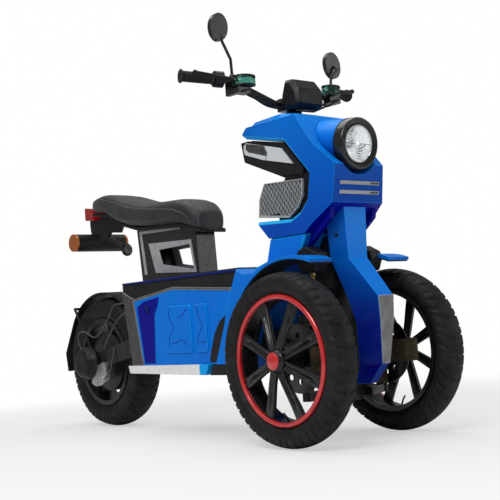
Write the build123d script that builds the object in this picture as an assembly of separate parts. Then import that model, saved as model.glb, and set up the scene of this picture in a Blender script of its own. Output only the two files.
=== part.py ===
from build123d import *
import os
from math import asin, cos, degrees, hypot, radians, sin

# Electric three-wheel scooter: two steered front wheels, one driven rear wheel.
# Millimetres, +Z up, forward is -Y, the rider's left is +X.
# Places along the scooter are written as distances forward of the rear axle.

# Wheels and stance
WHEELBASE = 1262.0
TRACK = 445.0
FRONT_TYRE_R = 250.0
FRONT_TYRE_W = 92.0
FRONT_BEAD_R = 182.0
REAR_TYRE_R = 248.5
REAR_TYRE_W = 122.0
REAR_BEAD_R = 158.0
RUNNING_GAP = 0.3
MOVING_GAP = 5.5

# Front hub and kingpin
KINGPIN_X = 155.0
KNUCKLE_HEIGHT = 200.0
SPINDLE_R = 8.0
HUB_R = 30.0
DISC_R = 100.0
DISC_T = 4.0
DISC_INSET = 42.0
STEER_ANGLE = 22.0
ARM_EYE_H = 24.0
PIVOT_PIN_R = 7.0

# Lower body
DECK_Z = 528.0
DECK_T = 8.0
BODY_HALF = 188.0
PANEL_T = 20.0
BODY_FLOOR_Z = 212.0
FLOOR_T = 8.0
ARCH_GAP = 6.5
LINER_T = 4.0
ARCH_T = 10.0
ARCH_HALF_OUT = 206.0
ARCH_LOW = 240.0
LINER_LOW = 206.0
SHIELD_HALF = 118.0

# Head fairing
HEAD_HALF = 122.0
HEAD_FRONT_HALF = 96.0
LAMP_R = 75.0

# Steering column
RAKE = 20.0
COLUMN_BACK = 144.0
COLUMN_Z = 985.0
COLUMN_R = 16.0
BAR_R = 11.0
BAR_HALF = 350.0

# Seat post and seat
POST_HALF = 42.0
SEAT_HALF = 112.0
SEAT_REAR_HALF = 100.0
SEAT_NOSE_HALF = 90.0
SEAT_CORNER = 78.0
SEAT_BASE_T = 14.0

# Rear end
FENDER_GAP = 13.0
FENDER_T = 6.0
FENDER_HALF = 52.0
ARM_X = 96.0
ARM_T = 22.0

FRONT_END = WHEELBASE + FRONT_TYRE_R
REAR_END = -288.0
MIDDLE = (FRONT_END + REAR_END) / 2
AXLE_Z = FRONT_TYRE_R
REAR_AXLE_Z = REAR_TYRE_R
SIDES = {"left": 1, "right": -1}


def ahead(points):
    """Side-plane points given forward of the front axle, turned into ones forward of the rear axle."""
    return [(WHEELBASE + f, z) for f, z in points]


def at(forward):
    """Y of a place that lies forward of the rear axle."""
    return MIDDLE - forward


def side_face(points):
    """Face in the side plane from (forward, height) pairs."""
    outline = Polyline(*[(at(f), z) for f, z in points], close=True)
    return Plane.YZ * make_face(outline)


def closed_face(curves):
    """Face inside a closed run of lines and arcs."""
    return make_face(Wire([edge for curve in curves for edge in curve.edges()]))


def slab(points, inner, outer):
    """Prism of a side outline between two distances from the centre plane."""
    face = Pos(inner, 0, 0) * side_face(points)
    return extrude(face, amount=outer - inner, dir=(1, 0, 0))


def core(points, half):
    """Prism of a side outline, the same each side of the centre plane."""
    return slab(points, -half, half)


def pair(shape):
    """A shape and its mirror image across the centre plane."""
    return Compound(children=[shape, mirror(shape, about=Plane.YZ)])


def block(f0, f1, x0, x1, z0, z1):
    """Box between two places along each direction."""
    size = Box(abs(x1 - x0), abs(f1 - f0), abs(z1 - z0))
    return Pos((x0 + x1) / 2, at((f0 + f1) / 2), (z0 + z1) / 2) * size


def across(forward, height, radius, x0, x1):
    """Cylinder whose axis runs across the scooter."""
    rod = Rot(0, 90, 0) * Cylinder(radius, abs(x1 - x0))
    return Pos((x0 + x1) / 2, at(forward), height) * rod


def rod_between(start, end, radius):
    """Round bar between two (x, forward, height) places."""
    a = Vector(start[0], at(start[1]), start[2])
    b = Vector(end[0], at(end[1]), end[2])
    plane = Plane(origin=a, z_dir=b - a)
    return extrude(plane * Circle(radius), amount=(b - a).length)


def tube_path(points, bends, radius):
    """Round tube along straight runs joined by arcs."""
    path = FilletPolyline(*[(x, at(f), z) for x, f, z in points], radius=bends)
    start = Plane(origin=path @ 0, z_dir=path % 0)
    return sweep(start * Circle(radius), path=path)


def save(name, shape, where=None):
    """Write one node's STEP file."""
    if where is not None:
        shape = where * shape
    os.makedirs("parts", exist_ok=True)
    export_step(shape, "parts/" + name + ".step")


# Wheels


def tyre(radius, width, bead_r, bead_half, lip):
    """Tyre ring: straight beads, round sidewalls and a crowned tread."""
    bulge_r = (radius + bead_r) / 2
    shoulder_r = radius - 0.12 * width
    shoulder = 0.42 * width
    foot_r = bead_r + lip
    edges = [
        Line((-bead_half, bead_r), (-bead_half, foot_r)),
        ThreePointArc((-bead_half, foot_r), (-width / 2, bulge_r), (-shoulder, shoulder_r)),
        ThreePointArc((-shoulder, shoulder_r), (0, radius), (shoulder, shoulder_r)),
        ThreePointArc((shoulder, shoulder_r), (width / 2, bulge_r), (bead_half, foot_r)),
        Line((bead_half, foot_r), (bead_half, bead_r)),
        Line((bead_half, bead_r), (-bead_half, bead_r)),
    ]
    return revolve(closed_face(edges), Axis.X, 360)


def barrel(bead_r, bead_half, lip, lip_t, wall):
    """Rim barrel with a lip each side that holds the bead."""
    seat_r = bead_r - RUNNING_GAP
    inside_r = seat_r - wall
    edge = bead_half + RUNNING_GAP
    outer = edge + lip_t
    lip_r = bead_r + lip - 1
    profile = Polyline(
        (-outer, inside_r), (-outer, lip_r), (-edge, lip_r), (-edge, seat_r),
        (edge, seat_r), (edge, lip_r), (outer, lip_r), (outer, inside_r), close=True)
    return revolve(make_face(profile), Axis.X, 360)


FRONT_BEAD_HALF = 31.0
RIM_LIP = 9.0
RIM_LIP_T = 6.0
RIM_WALL = 9.0
SPOKES = 8
HUB_OUT = 56.0
SPOKE_T = 15.0
SPOKE_HUB_W = 25.0
SPOKE_RIM_W = 37.0
SPOKE_RIM_X = 30.0
GROOVE_HUB_W = 15.0
GROOVE_RIM_W = 6.0
GROOVE_END_R = 132.0
GROOVE_D = 5.0


def spoke_section(radius, width, face_x, depth):
    """Rectangle across one spoke at a distance from the hub's centre."""
    plane = Plane(origin=(face_x - depth / 2, 0, radius), x_dir=(0, 1, 0), z_dir=(0, 0, 1))
    return plane * Rectangle(width, depth)


def front_rim(side):
    """Cast wheel: hub, eight dished and grooved spokes, and the rim barrel."""
    root_r = HUB_R - 8
    tip_r = FRONT_BEAD_R - RIM_WALL + 2
    hub_x = HUB_OUT - 6
    spoke = loft([spoke_section(root_r, SPOKE_HUB_W, hub_x, SPOKE_T),
                  spoke_section(tip_r, SPOKE_RIM_W, SPOKE_RIM_X, SPOKE_T)], ruled=True)
    groove_x = hub_x + (SPOKE_RIM_X - hub_x) * (GROOVE_END_R - root_r) / (tip_r - root_r)
    groove = loft([spoke_section(HUB_R + 8, GROOVE_HUB_W, hub_x + 3, GROOVE_D * 2),
                   spoke_section(GROOVE_END_R, GROOVE_RIM_W, groove_x + 3, GROOVE_D * 2)],
                  ruled=True)
    spoke = spoke - groove
    hub_in = -DISC_INSET - DISC_T
    hub = Pos((hub_in + HUB_OUT) / 2, 0, 0) * Rot(0, 90, 0) * Cylinder(HUB_R, HUB_OUT - hub_in)
    wheel = barrel(FRONT_BEAD_R, FRONT_BEAD_HALF, RIM_LIP, RIM_LIP_T, RIM_WALL) + hub
    for k in range(SPOKES):
        angle = (k + 0.5) * 360 / SPOKES
        wheel += Rot(angle, 0, 0) * spoke
    bore_end = HUB_OUT - 14
    bore_len = bore_end - hub_in + 1
    bore = Rot(0, 90, 0) * Cylinder(SPINDLE_R + RUNNING_GAP, bore_len)
    wheel -= Pos((hub_in - 1 + bore_end) / 2, 0, 0) * bore
    return wheel if side > 0 else mirror(wheel, about=Plane.YZ)


def brake_disc(side):
    """Brake disc with a ring of slots, round the hub's inner end."""
    blank = Rot(0, 90, 0) * Cylinder(DISC_R, DISC_T)
    blank -= Rot(0, 90, 0) * Cylinder(HUB_R + RUNNING_GAP, DISC_T * 2)
    slot = Rot(0, 90, 0) * Cylinder(9, DISC_T * 2)
    for k in range(10):
        blank -= Rot(k * 36, 0, 0) * Pos(0, 0, DISC_R - 34) * slot
    return Pos(-side * (DISC_INSET + DISC_T / 2), 0, 0) * blank


def hub_cap(side):
    """Shallow domed cap on the hub's outer face."""
    cap_r = HUB_R - 5
    rim_t = 3.0
    dome = 6.0
    ball_r = (cap_r ** 2 + dome ** 2) / (2 * dome)
    drum = Rot(0, 90, 0) * Cylinder(cap_r, 2 * (rim_t + dome))
    ball = Pos(rim_t + dome - ball_r, 0, 0) * Sphere(ball_r)
    cap = drum & ball & Pos(rim_t + dome, 0, 0) * Box(2 * (rim_t + dome), 4 * cap_r, 4 * cap_r)
    cap = Pos(HUB_OUT, 0, 0) * cap
    return cap if side > 0 else mirror(cap, about=Plane.YZ)


def make_front_wheels():
    for name, side in SIDES.items():
        place = Pos(side * TRACK / 2, at(WHEELBASE), AXLE_Z)
        ring = tyre(FRONT_TYRE_R, FRONT_TYRE_W, FRONT_BEAD_R, FRONT_BEAD_HALF, RIM_LIP)
        save("tyre_front_" + name, ring, place)
        save("rim_front_" + name, front_rim(side), place)
        save("brake_disc_" + name, brake_disc(side), place)
        save("hub_cap_" + name, hub_cap(side), place)


REAR_BEAD_HALF = 46.0
MOTOR_R = 112.0
MOTOR_HALF = 48.0
AXLE_R = 10.0
REAR_SPOKES = 5


def make_rear_wheel():
    """Hub-motor drum joined to its rim by short webs."""
    place = Pos(0, at(0), REAR_AXLE_Z)
    ring = tyre(REAR_TYRE_R, REAR_TYRE_W, REAR_BEAD_R, REAR_BEAD_HALF, RIM_LIP)
    save("tyre_rear", ring, place)
    wheel = barrel(REAR_BEAD_R, REAR_BEAD_HALF, RIM_LIP, RIM_LIP_T, RIM_WALL)
    drum_profile = make_face(Polyline(
        (-MOTOR_HALF, 0), (-MOTOR_HALF, MOTOR_R - 30), (-MOTOR_HALF + 14, MOTOR_R),
        (MOTOR_HALF - 14, MOTOR_R), (MOTOR_HALF, MOTOR_R - 30), (MOTOR_HALF, 0), close=True))
    wheel += revolve(drum_profile, Axis.X, 360)
    reach = REAR_BEAD_R - RIM_WALL
    for k in range(REAR_SPOKES):
        web = Box(34, 30, reach - MOTOR_R + 12)
        wheel += Rot(k * 360 / REAR_SPOKES, 0, 0) * Pos(0, 0, (reach + MOTOR_R) / 2) * web
    wheel -= Rot(0, 90, 0) * Cylinder(AXLE_R + RUNNING_GAP, 4 * MOTOR_HALF)
    save("rim_rear", wheel, place)


# Front end structure

SWING = 2 * (TRACK / 2 - KINGPIN_X) * sin(radians(STEER_ANGLE) / 2)
TYRE_REACH = hypot(FRONT_TYRE_R - 0.12 * FRONT_TYRE_W, 0.42 * FRONT_TYRE_W)
ARCH_IN_R = max(TYRE_REACH, FRONT_TYRE_R) + SWING + ARCH_GAP
KNUCKLE_TOP = AXLE_Z + KNUCKLE_HEIGHT / 2
KNUCKLE_LOW = AXLE_Z - KNUCKLE_HEIGHT / 2
FRAME_HALF = 45.0
ARM_PIVOT_X = 62.0
ARM_SPAN = 62.0
UPPER_ARM_Z = KNUCKLE_TOP + RUNNING_GAP + ARM_EYE_H / 2
LOWER_ARM_Z = KNUCKLE_LOW - RUNNING_GAP - ARM_EYE_H / 2
TOWER_TOP = 540.0


def knuckle(side):
    """Upright on its kingpin, with the wheel's spindle and the brake caliper."""
    disc_in = TRACK / 2 - DISC_INSET - DISC_T
    boss_out = disc_in - MOVING_GAP
    spindle_out = TRACK / 2 + HUB_OUT - 16
    upright = block(WHEELBASE - 15, WHEELBASE + 15, KINGPIN_X - 12, KINGPIN_X + 11,
                    KNUCKLE_LOW, KNUCKLE_TOP)
    boss = across(WHEELBASE, AXLE_Z, 24, KINGPIN_X - 14, boss_out)
    spindle = across(WHEELBASE, AXLE_Z, SPINDLE_R, KINGPIN_X, spindle_out)
    pin_len = ARM_EYE_H + 2 * RUNNING_GAP
    pins = Pos(KINGPIN_X, at(WHEELBASE), KNUCKLE_TOP + pin_len / 2) * Cylinder(PIVOT_PIN_R, pin_len)
    pins += Pos(KINGPIN_X, at(WHEELBASE), KNUCKLE_LOW - pin_len / 2) * Cylinder(PIVOT_PIN_R, pin_len)
    body = block(WHEELBASE, WHEELBASE + DISC_R + 14, KINGPIN_X - 12, disc_in + 24,
                 AXLE_Z - 34, AXLE_Z + 34)
    body -= block(WHEELBASE - 1, WHEELBASE + DISC_R - 30, KINGPIN_X + 11, disc_in + 40,
                  AXLE_Z - 50, AXLE_Z + 50)
    body -= block(WHEELBASE - 1, WHEELBASE + DISC_R + MOVING_GAP, boss_out,
                  disc_in + DISC_T + MOVING_GAP, AXLE_Z - 50, AXLE_Z + 50)
    whole = upright + boss + spindle + pins + body
    return whole if side > 0 else mirror(whole, about=Plane.YZ)


def wishbone(height):
    """Two legs from the frame pivots to the eye at the kingpin."""
    eye_x = KINGPIN_X
    legs = [
        (FRAME_HALF + RUNNING_GAP, WHEELBASE - ARM_SPAN), (FRAME_HALF + RUNNING_GAP, WHEELBASE - 30),
        (eye_x - 24, WHEELBASE - 8), (eye_x - 24, WHEELBASE + 8),
        (FRAME_HALF + RUNNING_GAP, WHEELBASE + 30), (FRAME_HALF + RUNNING_GAP, WHEELBASE + ARM_SPAN),
        (eye_x - 8, WHEELBASE + 15), (eye_x - 8, WHEELBASE - 15)]
    plate = make_face(Polyline(*[(x, at(f)) for x, f in legs], close=True))
    arm = Pos(0, 0, height - ARM_EYE_H / 2) * extrude(plate, amount=ARM_EYE_H, dir=(0, 0, 1))
    arm += Pos(eye_x, at(WHEELBASE), height) * Cylinder(16, ARM_EYE_H)
    arm -= Pos(eye_x, at(WHEELBASE), height) * Cylinder(PIVOT_PIN_R + RUNNING_GAP, ARM_EYE_H * 2)
    return arm


SHIELD_FRONT = ahead([(-362, BODY_FLOOR_Z), (-307, 330), (-252, 440), (-202, 505), (-112, TOWER_TOP)])
SHIELD_NECK = ahead([(-40, TOWER_TOP), (-10, 596)])


def on_line(points, height):
    """Forward place on a rising outline at one height."""
    for (f0, z0), (f1, z1) in zip(points, points[1:]):
        if z0 <= height <= z1:
            return f0 + (f1 - f0) * (height - z0) / (z1 - z0)
    return points[-1][0]


DAMPER_X = 92.0


def make_front_frame():
    """Black centre frame: spine, bulkhead, tower and damper bar."""
    beam_low = 262.0
    beam_top = 325.0
    nose_f = WHEELBASE + 28
    tail_f = WHEELBASE - 74
    spine = [(on_line(SHIELD_FRONT, beam_low), beam_low), (on_line(SHIELD_FRONT, beam_top), beam_top),
             (tail_f, beam_top + 40), (tail_f, TOWER_TOP), SHIELD_NECK[0], SHIELD_NECK[1],
             (nose_f, SHIELD_NECK[1][1]), (nose_f, LOWER_ARM_Z - 24), (tail_f, LOWER_ARM_Z - 24),
             (tail_f, beam_low - 30)]
    frame = core(spine, FRAME_HALF)
    frame += across(WHEELBASE - 10, TOWER_TOP - 26, 15, -DAMPER_X - 14, DAMPER_X + 14)
    save("front_frame", frame)
    arms = [pair(wishbone(UPPER_ARM_Z)), pair(wishbone(LOWER_ARM_Z))]
    save("suspension_arms", Compound(children=arms))
    for name, side in SIDES.items():
        save("knuckle_" + name, knuckle(side))


def damper():
    """Spring body and rod between the upper arm and the damper bar."""
    low = UPPER_ARM_Z + ARM_EYE_H / 2
    top = TOWER_TOP - 26 - 15
    foot = Pos(DAMPER_X, at(WHEELBASE - 10), low + 32) * Cylinder(19, 64)
    rod_len = top - low - 64
    rod = Pos(DAMPER_X, at(WHEELBASE - 10), low + 64 + rod_len / 2) * Cylinder(6, rod_len)
    return foot + rod


# Lower body

BODY_REAR_TOP = 372.0
BODY_REAR_LOW = 412.0
PILLAR_W = 70.0
ARCH_TIP = 20.0
ARCH_CREST = -30.0
ARCH_FLARE = 22.0
ARCH_REAR = ahead([(-393, LINER_LOW), (-390, BODY_FLOOR_Z), (-317, 380), (-277, 474), (-248, DECK_Z)])
ARCH_DIP = ahead([(-196, 508)])
VENT = ahead([(-328, 376), (-366, 346), (-400, 252), (-380, 244), (-356, 300)])


def body_rear(height):
    """Forward place of the lower body's slanted rear wall at one height."""
    return on_line([(BODY_REAR_LOW, BODY_FLOOR_Z), (BODY_REAR_TOP, DECK_Z - DECK_T)], height)


def make_lower_body():
    inner = BODY_HALF - PANEL_T
    panel_low = 240.0
    plate_under = DECK_Z - DECK_T
    front_low = on_line(ARCH_REAR, panel_low)
    panel = slab([(BODY_REAR_LOW + PILLAR_W, panel_low), (440, 460), (675, 487),
                  (on_line(ARCH_REAR, 464), 464), (front_low, panel_low)], inner, BODY_HALF)
    panel -= slab(VENT, BODY_HALF - PANEL_T / 2, BODY_HALF + 1)
    for f0, f1 in ((634, 772), (792, 854)):
        middle = Pos(BODY_HALF, at((f0 + f1) / 2), 356) * (Plane.YZ * RectangleRounded(f1 - f0, 152, 12))
        panel += extrude(middle, amount=6, dir=(1, 0, 0))
    save("side_panels", pair(panel))
    front_strip = on_line(ARCH_REAR, 464)
    pillar = slab([(BODY_REAR_TOP, 500), (440, 470), (440, 460),
                   (BODY_REAR_LOW + PILLAR_W, panel_low), (BODY_REAR_LOW, panel_low)],
                  inner, BODY_HALF + 3)
    line = slab([(440, 470), (675, 497), ARCH_REAR[3], (front_strip, 464), (675, 487), (440, 460)],
                inner, BODY_HALF + 3)
    save("corner_trims", pair(pillar + line))
    edge = slab([(BODY_REAR_TOP, 500), (440, 470), (675, 497), ARCH_REAR[3],
                 (on_line(ARCH_REAR, plate_under), plate_under), (BODY_REAR_TOP, plate_under)],
                inner, BODY_HALF)
    save("deck_edges", pair(edge))
    cover = core([(BODY_REAR_TOP, plate_under), (on_line(ARCH_REAR, plate_under), plate_under),
                  ARCH_REAR[4], (BODY_REAR_TOP, DECK_Z)], BODY_HALF + 2)
    save("deck_cover", cover)
    mat = block(650, ARCH_REAR[4][0] - 8, -BODY_HALF + 14, BODY_HALF - 14, DECK_Z, DECK_Z + 5)
    save("floor_mat", mat)
    wall = 6.0
    rear_in = BODY_REAR_TOP + wall
    front_top = on_line(ARCH_REAR, plate_under)
    front = [ARCH_REAR[3], ARCH_REAR[2], ARCH_REAR[1]]
    outline = [(BODY_REAR_LOW, BODY_FLOOR_Z), (BODY_REAR_TOP, plate_under), (front_top, plate_under)]
    hollow = [(BODY_REAR_LOW + wall, BODY_FLOOR_Z + FLOOR_T), (rear_in, plate_under + 1),
              (front_top - wall, plate_under + 1)]
    hollow += [(f - wall, max(z, BODY_FLOOR_Z + FLOOR_T)) for f, z in front]
    tray = core(outline + front, inner) - core(hollow, inner - wall)
    save("body_tray", tray)
    save("battery_pack", block(440, 850, -140, 140, BODY_FLOOR_Z + FLOOR_T, 440))


def make_step_bars():
    """Bright foot bars under the side panels."""
    bar = slab([(405, 240), (415, 214), (762, 208), (770, 234), (772, 240)],
               BODY_HALF - PANEL_T, BODY_HALF + 16)
    save("step_bars", pair(bar))


def make_arches():
    """Wheel arches behind each steered tyre, with a black liner that ends in a foot."""
    shell_r = ARCH_IN_R + LINER_T
    inside_r = shell_r + RUNNING_GAP
    outer_r = inside_r + ARCH_T

    def on_arch(radius, angle):
        turn = radians(angle)
        return (at(WHEELBASE + radius * sin(turn)), AXLE_Z + radius * cos(turn))

    def low_end(radius, height):
        return degrees(asin((height - AXLE_Z) / radius)) - 90

    def sweep_arc(radius, start, end):
        middle = (start + end) / 2
        return ThreePointArc(on_arch(radius, start), on_arch(radius, middle), on_arch(radius, end))

    low = low_end(inside_r, ARCH_LOW)
    rear = [(on_line(ARCH_REAR, ARCH_LOW), ARCH_LOW)] + ARCH_REAR[2:] + ARCH_DIP
    curves = [
        sweep_arc(inside_r, ARCH_TIP, low),
        Polyline(on_arch(inside_r, low), *[(at(f), z) for f, z in rear], on_arch(outer_r, ARCH_CREST)),
        sweep_arc(outer_r, ARCH_CREST, ARCH_TIP),
        Line(on_arch(outer_r, ARCH_TIP), on_arch(inside_r, ARCH_TIP))]
    face = Pos(SHIELD_HALF, 0, 0) * (Plane.YZ * closed_face(curves))
    arch = extrude(face, amount=ARCH_HALF_OUT - SHIELD_HALF, dir=(1, 0, 0))
    foot_f, foot_z = ARCH_REAR[0]
    spread = ARCH_HALF_OUT - BODY_HALF
    reach = 1.4 * spread
    plan = [(BODY_HALF, foot_f), (BODY_HALF + reach, foot_f + ARCH_FLARE / spread * reach),
            (BODY_HALF + reach, foot_f - reach), (BODY_HALF, foot_f - reach)]
    flat = Pos(0, 0, foot_z - 1) * make_face(Polyline(*[(x, at(f)) for x, f in plan], close=True))
    top_f, top_z = ARCH_REAR[-1]
    rise = (0, at(top_f) - at(foot_f), top_z - foot_z)
    arch -= extrude(flat, amount=1.3 * hypot(*rise), dir=rise)
    save("wheel_arches", pair(arch))

    ends = [low_end(radius, LINER_LOW) for radius in (ARCH_IN_R, shell_r)]
    foot_top = ARCH_LOW - RUNNING_GAP
    inner_end = on_arch(ARCH_IN_R, ends[0])
    curves = [
        sweep_arc(ARCH_IN_R, ARCH_TIP, ends[0]),
        Polyline(inner_end, *[(at(f), z) for f, z in ARCH_REAR[:2]],
                 (at(on_line(ARCH_REAR, foot_top)), foot_top),
                 on_arch(shell_r, low_end(shell_r, foot_top))),
        sweep_arc(shell_r, low_end(shell_r, foot_top), ARCH_TIP),
        Line(on_arch(shell_r, ARCH_TIP), on_arch(ARCH_IN_R, ARCH_TIP))]
    face = Pos(SHIELD_HALF, 0, 0) * (Plane.YZ * closed_face(curves))
    save("arch_liners", pair(extrude(face, amount=ARCH_HALF_OUT - 4 - SHIELD_HALF, dir=(1, 0, 0))))


# Leg shield and head fairing

NECK_LOW = 612.0
HEAD_TOP = 990.0
HEAD_CREST_HALF = 40.0
HEAD_SHOULDER_Z = 966.0
HEAD_BEVEL = 10.0
HEAD_FACE = ahead([(104, 690), (122, 800)])
HEAD_INNER = ahead([
    (-216, 668), (-61, 660), (-20, 677), (14, 712), (28, 784), (-72, 896), (-246, 932)])
HEAD_OUTER = ahead([
    (-256, 948), (-212, 986), (-90, HEAD_TOP), (-12, 966), (12, 930), (54, 866)]) + HEAD_FACE[::-1] + ahead([
    (-4, NECK_LOW), (-162, NECK_LOW)])


def make_leg_shield():
    rear = ahead([(-162, NECK_LOW), (-184, 545)]) + ARCH_REAR[:0:-1]
    front = SHIELD_FRONT + SHIELD_NECK + ahead([(-4, NECK_LOW)])
    save("leg_shield", core(rear + front, SHIELD_HALF))


def column_axis(distance):
    """Place on the steering axis, measured up from the fairing's top."""
    tilt = radians(RAKE)
    return Vector(0, at(WHEELBASE - COLUMN_BACK - distance * sin(tilt)), COLUMN_Z + distance * cos(tilt))


def column_plane(distance):
    return Plane(origin=column_axis(distance), x_dir=(1, 0, 0),
                 z_dir=(0, sin(radians(RAKE)), cos(radians(RAKE))))


COLLAR_R = 30.0
COLLAR_DEPTH = 60.0
COLLAR_PROUD = 12.0


def make_head_fairing():
    """C-shaped fairing: flanks that narrow forwards, a crowned top and a bevelled inner edge."""
    body = core(HEAD_INNER + HEAD_OUTER, HEAD_HALF)
    half_plan = ahead([(-290, HEAD_HALF), (28, HEAD_HALF), (138, HEAD_FRONT_HALF)])
    plan = [(x, at(f)) for f, x in half_plan] + [(-x, at(f)) for f, x in half_plan[::-1]]
    body &= extrude(make_face(Polyline(*plan, close=True)), amount=1200, dir=(0, 0, 1))
    roof = [(-HEAD_HALF, NECK_LOW), (-HEAD_HALF, HEAD_SHOULDER_Z), (-HEAD_CREST_HALF, HEAD_TOP),
            (HEAD_CREST_HALF, HEAD_TOP), (HEAD_HALF, HEAD_SHOULDER_Z), (HEAD_HALF, NECK_LOW)]
    roof_face = Pos(0, at(0), 0) * (Plane.XZ * make_face(Polyline(*roof, close=True)))
    body &= extrude(roof_face, amount=FRONT_END, dir=(0, -1, 0))
    mouth = HEAD_INNER + ahead([(-400, 960), (-400, 640)])
    bevel = extrude(Pos(HEAD_HALF - HEAD_BEVEL, 0, 0) * side_face(mouth),
                    amount=HEAD_BEVEL, taper=-45)
    body -= pair(bevel)
    body -= extrude(column_plane(COLLAR_PROUD) * Circle(COLLAR_R), amount=-COLLAR_DEPTH * 1.6)
    body -= lamp_cutter()
    save("head_fairing", body)
    collar = extrude(column_plane(COLLAR_PROUD) * Circle(COLLAR_R - RUNNING_GAP),
                     amount=-COLLAR_DEPTH)
    collar -= extrude(column_plane(COLLAR_PROUD) * Circle(COLUMN_R + RUNNING_GAP),
                      amount=-COLLAR_DEPTH * 2)
    save("steering_head", collar)


LAMP_F = WHEELBASE + 132
LAMP_Z = 860.0
LAMP_TILT = 6.0
BUCKET_DEPTH = 110.0
BEZEL_T = 34.0


def lamp_plane(depth):
    """Plane across the headlight, a depth behind its front rim."""
    tilt = radians(LAMP_TILT)
    origin = (0, at(LAMP_F - depth * cos(tilt)), LAMP_Z + depth * sin(tilt))
    return Plane(origin=origin, x_dir=(1, 0, 0), z_dir=(0, -cos(tilt), -sin(tilt)))


def lamp_cutter():
    """Valley round the lamp, wider towards the front."""
    back = lamp_plane(BUCKET_DEPTH + BEZEL_T)
    return loft([back * Circle(LAMP_R + 4), lamp_plane(-60) * Circle(LAMP_R + 20)])


def make_headlight():
    bucket = loft([lamp_plane(BEZEL_T) * Circle(LAMP_R + 2),
                   lamp_plane(BEZEL_T + BUCKET_DEPTH) * Circle(LAMP_R + 3.5)])
    save("headlight_bucket", bucket)
    ring = extrude(lamp_plane(BEZEL_T) * Circle(LAMP_R), amount=BEZEL_T)
    ring -= extrude(lamp_plane(BEZEL_T - 4) * Circle(LAMP_R - 18), amount=BEZEL_T)
    save("headlight_bezel", ring)
    bowl = extrude(lamp_plane(BEZEL_T - 4) * Circle(LAMP_R - 18 - RUNNING_GAP), amount=10)
    save("headlight_reflector", bowl)
    glass = extrude(lamp_plane(9) * Circle(LAMP_R - 18 - RUNNING_GAP), amount=5)
    save("headlight_glass", glass)


def make_chrome_strips():
    strips = []
    for height in (746, 719):
        low = on_line(HEAD_FACE, height - 6)
        high = on_line(HEAD_FACE, height + 6)
        strips.append(core([(low, height - 6), (high, height + 6), (high + 5, height + 5),
                            (low + 5, height - 5)], 81))
    save("chrome_strips", Compound(children=strips))


THROAT = ahead([
    (-245, 929), (-73, 893), (25, 784), (11, 714), (-22, 680), (-63, 662),
    (-142, 665), (-142, 750), (-102, 790), (-287, 866), (-294, 915)])
LAMP_FRAME = ahead([
    (-288, 927), (-252, 928), (-86, 894), (-8, 806), (-12, 789), (-109, 800),
    (-277, 868)])
LAMP_LENS = ahead([
    (-272, 896), (-271, 914), (-259, 923), (-97, 880), (-49, 825), (-181, 857),
    (-266, 886)])
GRILLE = ahead([
    (-188, 784), (-14, 775), (-19, 725), (-42, 693), (-80, 670), (-222, 688),
    (-215, 737)])
GRILLE_PITCH = 15.0
GRILLE_HOLE_R = 7.2
GRILLE_EDGE = 5.0


def grille_holes():
    """Hexagonal prisms in staggered rows that fall inside the grille's edge."""
    inside = offset(side_face(GRILLE), -GRILLE_EDGE - GRILLE_HOLE_R, kind=Kind.INTERSECTION)
    low = min(z for f, z in GRILLE)
    rear = min(f for f, z in GRILLE)
    row_step = GRILLE_PITCH * cos(radians(30))
    rows = round((max(z for f, z in GRILLE) - low) / row_step)
    across_count = round((max(f for f, z in GRILLE) - rear) / GRILLE_PITCH)
    cell = extrude(Plane.YZ * RegularPolygon(GRILLE_HOLE_R, 6, rotation=30), amount=60, dir=(1, 0, 0))
    holes = []
    for row in range(rows):
        for k in range(across_count):
            place = (rear + (k + row % 2 / 2) * GRILLE_PITCH, low + row * row_step)
            if inside.is_inside(Vector(0, at(place[0]), place[1])):
                holes.append(Pos(LAMP_HALF - 20, at(place[0]), place[1]) * cell)
    return holes


LAMP_HALF = 92.0


def make_side_lamps():
    """Dark inner housing that fills the fairing's throat, lamps and grilles."""
    housing = core(THROAT, LAMP_HALF)
    frame = slab(LAMP_FRAME, LAMP_HALF, LAMP_HALF + 10)
    housing += pair(frame)
    seat = offset(side_face(LAMP_LENS), RUNNING_GAP, kind=Kind.INTERSECTION)
    housing -= pair(extrude(Pos(LAMP_HALF, 0, 0) * seat, amount=20, dir=(1, 0, 0)))
    housing -= extrude(column_plane(0) * Circle(COLLAR_R + 2), amount=-400)
    housing -= lamp_cutter()
    save("lamp_housing", housing)
    lens = slab(LAMP_LENS, LAMP_HALF + RUNNING_GAP, LAMP_HALF + 14)
    save("side_lamps", pair(lens))
    grille = slab(GRILLE, LAMP_HALF, LAMP_HALF + 10) - Compound(children=grille_holes())
    save("grilles", pair(grille))


COWL_TOP = 700.0
COWL_BACK = 28.0
COWL_LEVELS = [
    (COWL_TOP, 90, 46, COWL_BACK, 66),
    (530, 88, 39, COWL_BACK, 52),
    (415, 185, 31, 83, 50),
    (342, 183, 27, 106, 45),
    (221, 167, 15, 98, 36),
    (165, 113, 12, 73, 30),
]
PLATE_T = 3.0
HEAD_UNDERSIDE = ahead([(-4, NECK_LOW), (104, 690)])


def cowl_section(level):
    height, front, front_half, rear, rear_half = level
    corners = [(front, front_half), (rear, rear_half), (rear, -rear_half), (front, -front_half)]
    face = make_face(Polyline(*[(x, at(WHEELBASE + f)) for f, x in corners], close=True))
    return Pos(0, 0, height) * face


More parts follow.
